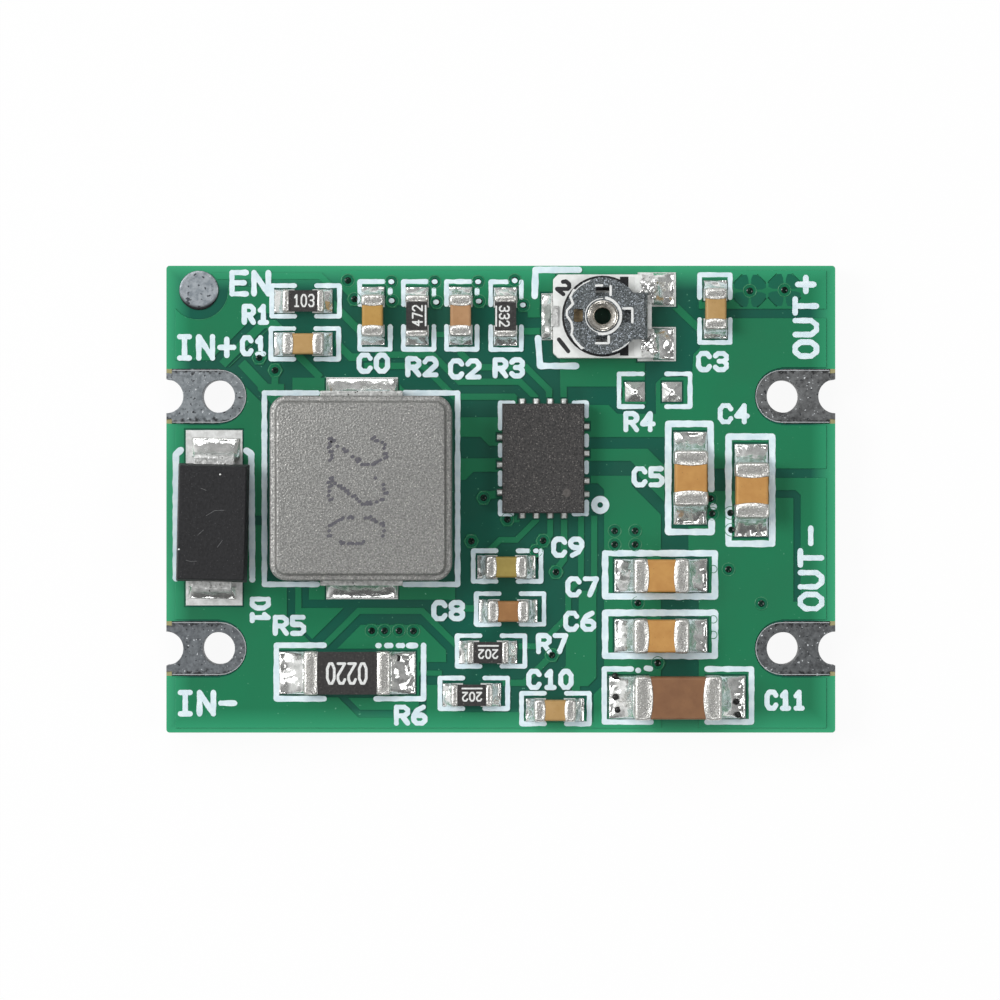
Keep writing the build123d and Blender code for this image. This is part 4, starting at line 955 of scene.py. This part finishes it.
dot_ink = finish("faint_dotted_ink", "#504F57", "#66656B", 0.06, (0.55, 0.65))
inductor_top = LAND_TOP + 3.0
dots = []
for line in lettered("220", -5.24, 0.28, 3.8, 1.95, -90):
    for (x0, y0), (x1, y1) in zip(line, line[1:]):
        count = max(1, round(math.hypot(x1 - x0, y1 - y0) / 0.15))
        for k in range(count):
            x, y = x0 + (x1 - x0) * k / count, y0 + (y1 - y0) * k / count
            drift = noise.noise(Vector((x * 5, y * 5, 2.5))) * 0.14
            x += noise.noise(Vector((x * 7, y * 7, 6.5))) * 0.1
            if noise.noise(Vector((x * 3, y * 3, 0.5))) > -0.25:
                dots.append([(x, y), (x + 0.03, y + 0.02)])
            if drift > 0:
                dots.append([(x + 0.08, y + drift), (x + 0.1, y + drift + 0.02)])
printed_strokes("inductor_value", dots, 0.115, 0.4, inductor_top - 0.01, inductor_top + 0.003, dot_ink)


# Diode.
# Black epoxy moulded round its tinned leads, which fold down and under its ends. The top has a few
# fine scratches and grains of dust.
moulding = finish(
    "black_epoxy_moulding", "#1A1A1C", "#28282A", 0.1, (0.5, 0.6),
    specks=(("#5E5F61", 0.045, 0.71),), bump=(0.02, 0.08), contrast=0.2,
)
reading(moulding)[1].inputs["Specular IOR Level"].default_value = 0.3
eased_copy("d1_body", "diode_body", 0.04, moulding, angle=8)
eased_copy("d1_leads", "diode_leads", 0.03, clip_finish, angle=40)
scratched = finish("scratched_epoxy", "#6C6D6E", "#4E4F50", 0.1, (0.5, 0.6))
diode_top = 3.78
scratches = [
    [(-11.43, -2.22), (-11.24, -2.27), (-11.04, -2.25)], [(-10.7, -0.6), (-10.4, -0.42), (-10.05, -0.4)],
    [(-11.0, -1.3), (-10.8, -1.12)], [(-10.3, -1.75), (-10.12, -1.5)], [(-10.9, 0.4), (-10.7, 0.32)],
]
dust = [[(-11.7, -1.82), (-11.69, -1.82)], [(-10.2, 0.9), (-10.19, 0.9)]]
printed_strokes("diode_scratches", scratches, 0.018, 0.5, diode_top - 0.004, diode_top + 0.002, scratched)
printed_strokes("diode_dust", dust, 0.06, 0.1, diode_top - 0.004, diode_top + 0.003, code_ink)


# Controller.
# A leadless package sawn from a moulded sheet: dark grey, full of fine pale filler grains, with a
# shallow round mark over its first contact.
package_finish = finish(
    "sawn_filled_moulding", "#1D1C1C", "#413F3E", 0.07, (0.5, 0.62),
    specks=(("#77736F", 0.05, 0.66),), bump=(0.035, 0.08), contrast=0.1,
)
dress("u1_package", package_finish)
dress("u1_contacts", tin_finish)
package_top = LAND_TOP + 0.9
dimpled = finish("ejector_mark_in_moulding", "#4E4A48", "#5E5A57", 0.08, (0.35, 0.45), bump=(0.02, 0.08))
dimple = [(0, package_top - 0.005), (0.15, package_top - 0.005), (0.15, package_top + 0.003)]
dimple += [(0.12, package_top + 0.001), (0, package_top + 0.0015)]
lathed("controller_pin_mark", (2.41, 0.23), dimple, 20, dimpled)


# Trimmer.
# A white alumina tile with a printed resistive ring, soldered clips, and a sprung steel rotor that
# turns on a hollow eyelet. The rotor is pressed from sheet and folded under into its wiper.
tile_top = LAND_TOP + 0.83
plate_top = 3.02
collar_top = 3.07
leaf_top = plate_top - 0.3
eased_copy("trimmer_base", "trimmer_tile", 0.03, alumina, angle=30)
track_ink = finish("fired_resistive_ink", "#141416", "#232326", 0.06, (0.35, 0.45))
tree, shader, place, axes = reading(track_ink)
glazed = add_node(tree, "Math", {"operation": "GREATER_THAN", 1: 4.66 * MM}, {0: axes[0]})
lay_over(track_ink, "#E2E4E1", glazed)
dress("trimmer_track", track_ink)
steel = finish(
    "pressed_spring_steel", "#7F8587", "#404547", 0.06, (0.26, 0.42), metal=0.55,
    specks=(("#B4BCC5", 0.05, 0.6),), bump=(0.02, 0.07), contrast=0.1,
)
eased_copy("trimmer_rotor", "trimmer_rotor_plate", 0.03, steel, angle=35, body="rotor")
nickel = finish(
    "nickel_plated_eyelet", "#E9E5DD", "#B5B1A8", 0.12, (0.16, 0.26), metal=0.85, bump=(0.012, 0.2)
)
eased_copy("trimmer_eyelet", "trimmer_eyelet_rim", 0.03, nickel, 3, angle=35)
eased_copy("trimmer_wiper_terminal", "trimmer_wiper_clip", 0.02, clip_finish, angle=35)
eased_copy("trimmer_end_terminals", "trimmer_end_clips", 0.02, clip_finish, angle=35)

# The rotor's rims, edge and collar carry painted highlights, and its leaf painted light under a slot.
rims = [
    [(-0.24, 1.1), (-0.02, 1.11)], [(0.29, 1.08), (0.29, 0.76)], [(0.22, -0.75), (0.22, -0.98)],
    [(0.2, -1.0), (-0.24, -1.0)], [(0.75, 0.27), (1.06, 0.27)], [(1.08, 0.24), (1.08, -0.24)],
    [(-1.05, 0.94), (-1.18, 0.7), (-1.08, 0.44), (-1.3, 0.2), (-1.31, 0.02), (-1.14, -0.24)],
    [(-1.14, -0.24), (-1.1, -0.46), (-1.14, -0.68), (-1.0, -0.92), (-0.76, -1.18)],
]
edges = [arc(1.36, 110, 140, 6), arc(1.36, 220, 240, 4), arc(1.36, 285, 315, 6)]
painted_warm_light = finish("warm_light_on_leaf", "#A5916C", "#6B5C45", 0.3, (0.35, 0.45), metal=0.3, bump=(0.01, 0.1))
plate_span = (plate_top - 0.01, plate_top + 0.012)
collar_span = (collar_top - 0.01, collar_top + 0.006)
for name, lines, width, waver, (low, high), material in (
    ("rotor_edge_glints", edges, 0.035, 0.7, plate_span, tin_and_painted_highlights),
    ("rotor_leaf_painted_light", [[(-0.97, 0.02), (-0.84, 0.02)]], 0.46, 0.1, (leaf_top, leaf_top + 0.015), painted_warm_light),
    ("rotor_rim_painted_highlights", rims, 0.085, 0.7, plate_span, tin_and_painted_highlights),
    ("rotor_collar_bright", [arc(0.66, -101.25, 78.75, 16)], 0.1, 0.5, collar_span, tin_and_painted_highlights),
    ("rotor_collar_dim", [arc(0.63, 90, 258.75, 15)], 0.03, 0.5, collar_span, tin_and_painted_highlights),
):
    lines = moved(lines, *TRIMMER_PLACE)
    printed_strokes(name, lines, width, waver, low, high, material, "rotor")

SWEEP_RADIUS = 1.9
SWEEP_LEVEL = LAND_TOP + 0.915
blobs = bmesh.new()
for order, (x, y, radius) in enumerate(
    (
        (5.44, 7.7, 0.27), (5.24, 7.86, 0.15), (5.2, 7.52, 0.13), (5.55, 7.42, 0.14), (5.6, 7.95, 0.16),
        (5.45, 5.7, 0.26), (5.24, 5.56, 0.14), (5.2, 5.86, 0.13), (5.56, 5.96, 0.13), (5.58, 5.42, 0.16),
    )
):
    for vert in bmesh.ops.create_icosphere(blobs, subdivisions=3, radius=radius)["verts"]:
        vert.co *= 1 + 0.35 * noise.noise(vert.co * 9 + Vector((order * 3.1, 0, 0)))
        vert.co.z *= 0.55
        vert.co += Vector((x, y, LAND_TOP + 0.87))
        if math.dist(vert.co.xy, TRIMMER_PLACE) < SWEEP_RADIUS:
            vert.co.z = min(vert.co.z, SWEEP_LEVEL)
drawn_piece("trimmer_clip_solder", blobs, solder_finish)

mark_ink = finish("black_mark_ink", "#17171A", "#26262A", 0.06, (0.45, 0.55))
marks = lettered("2", 2.3, 7.74, 0.3, 0.42, -40) + [[(2.12, 5.83), (2.46, 5.4)]]
printed_strokes(
    "trimmer_marks", marks, 0.15, 0.3, tile_top - 0.01, tile_top + 0.005, mark_ink
)
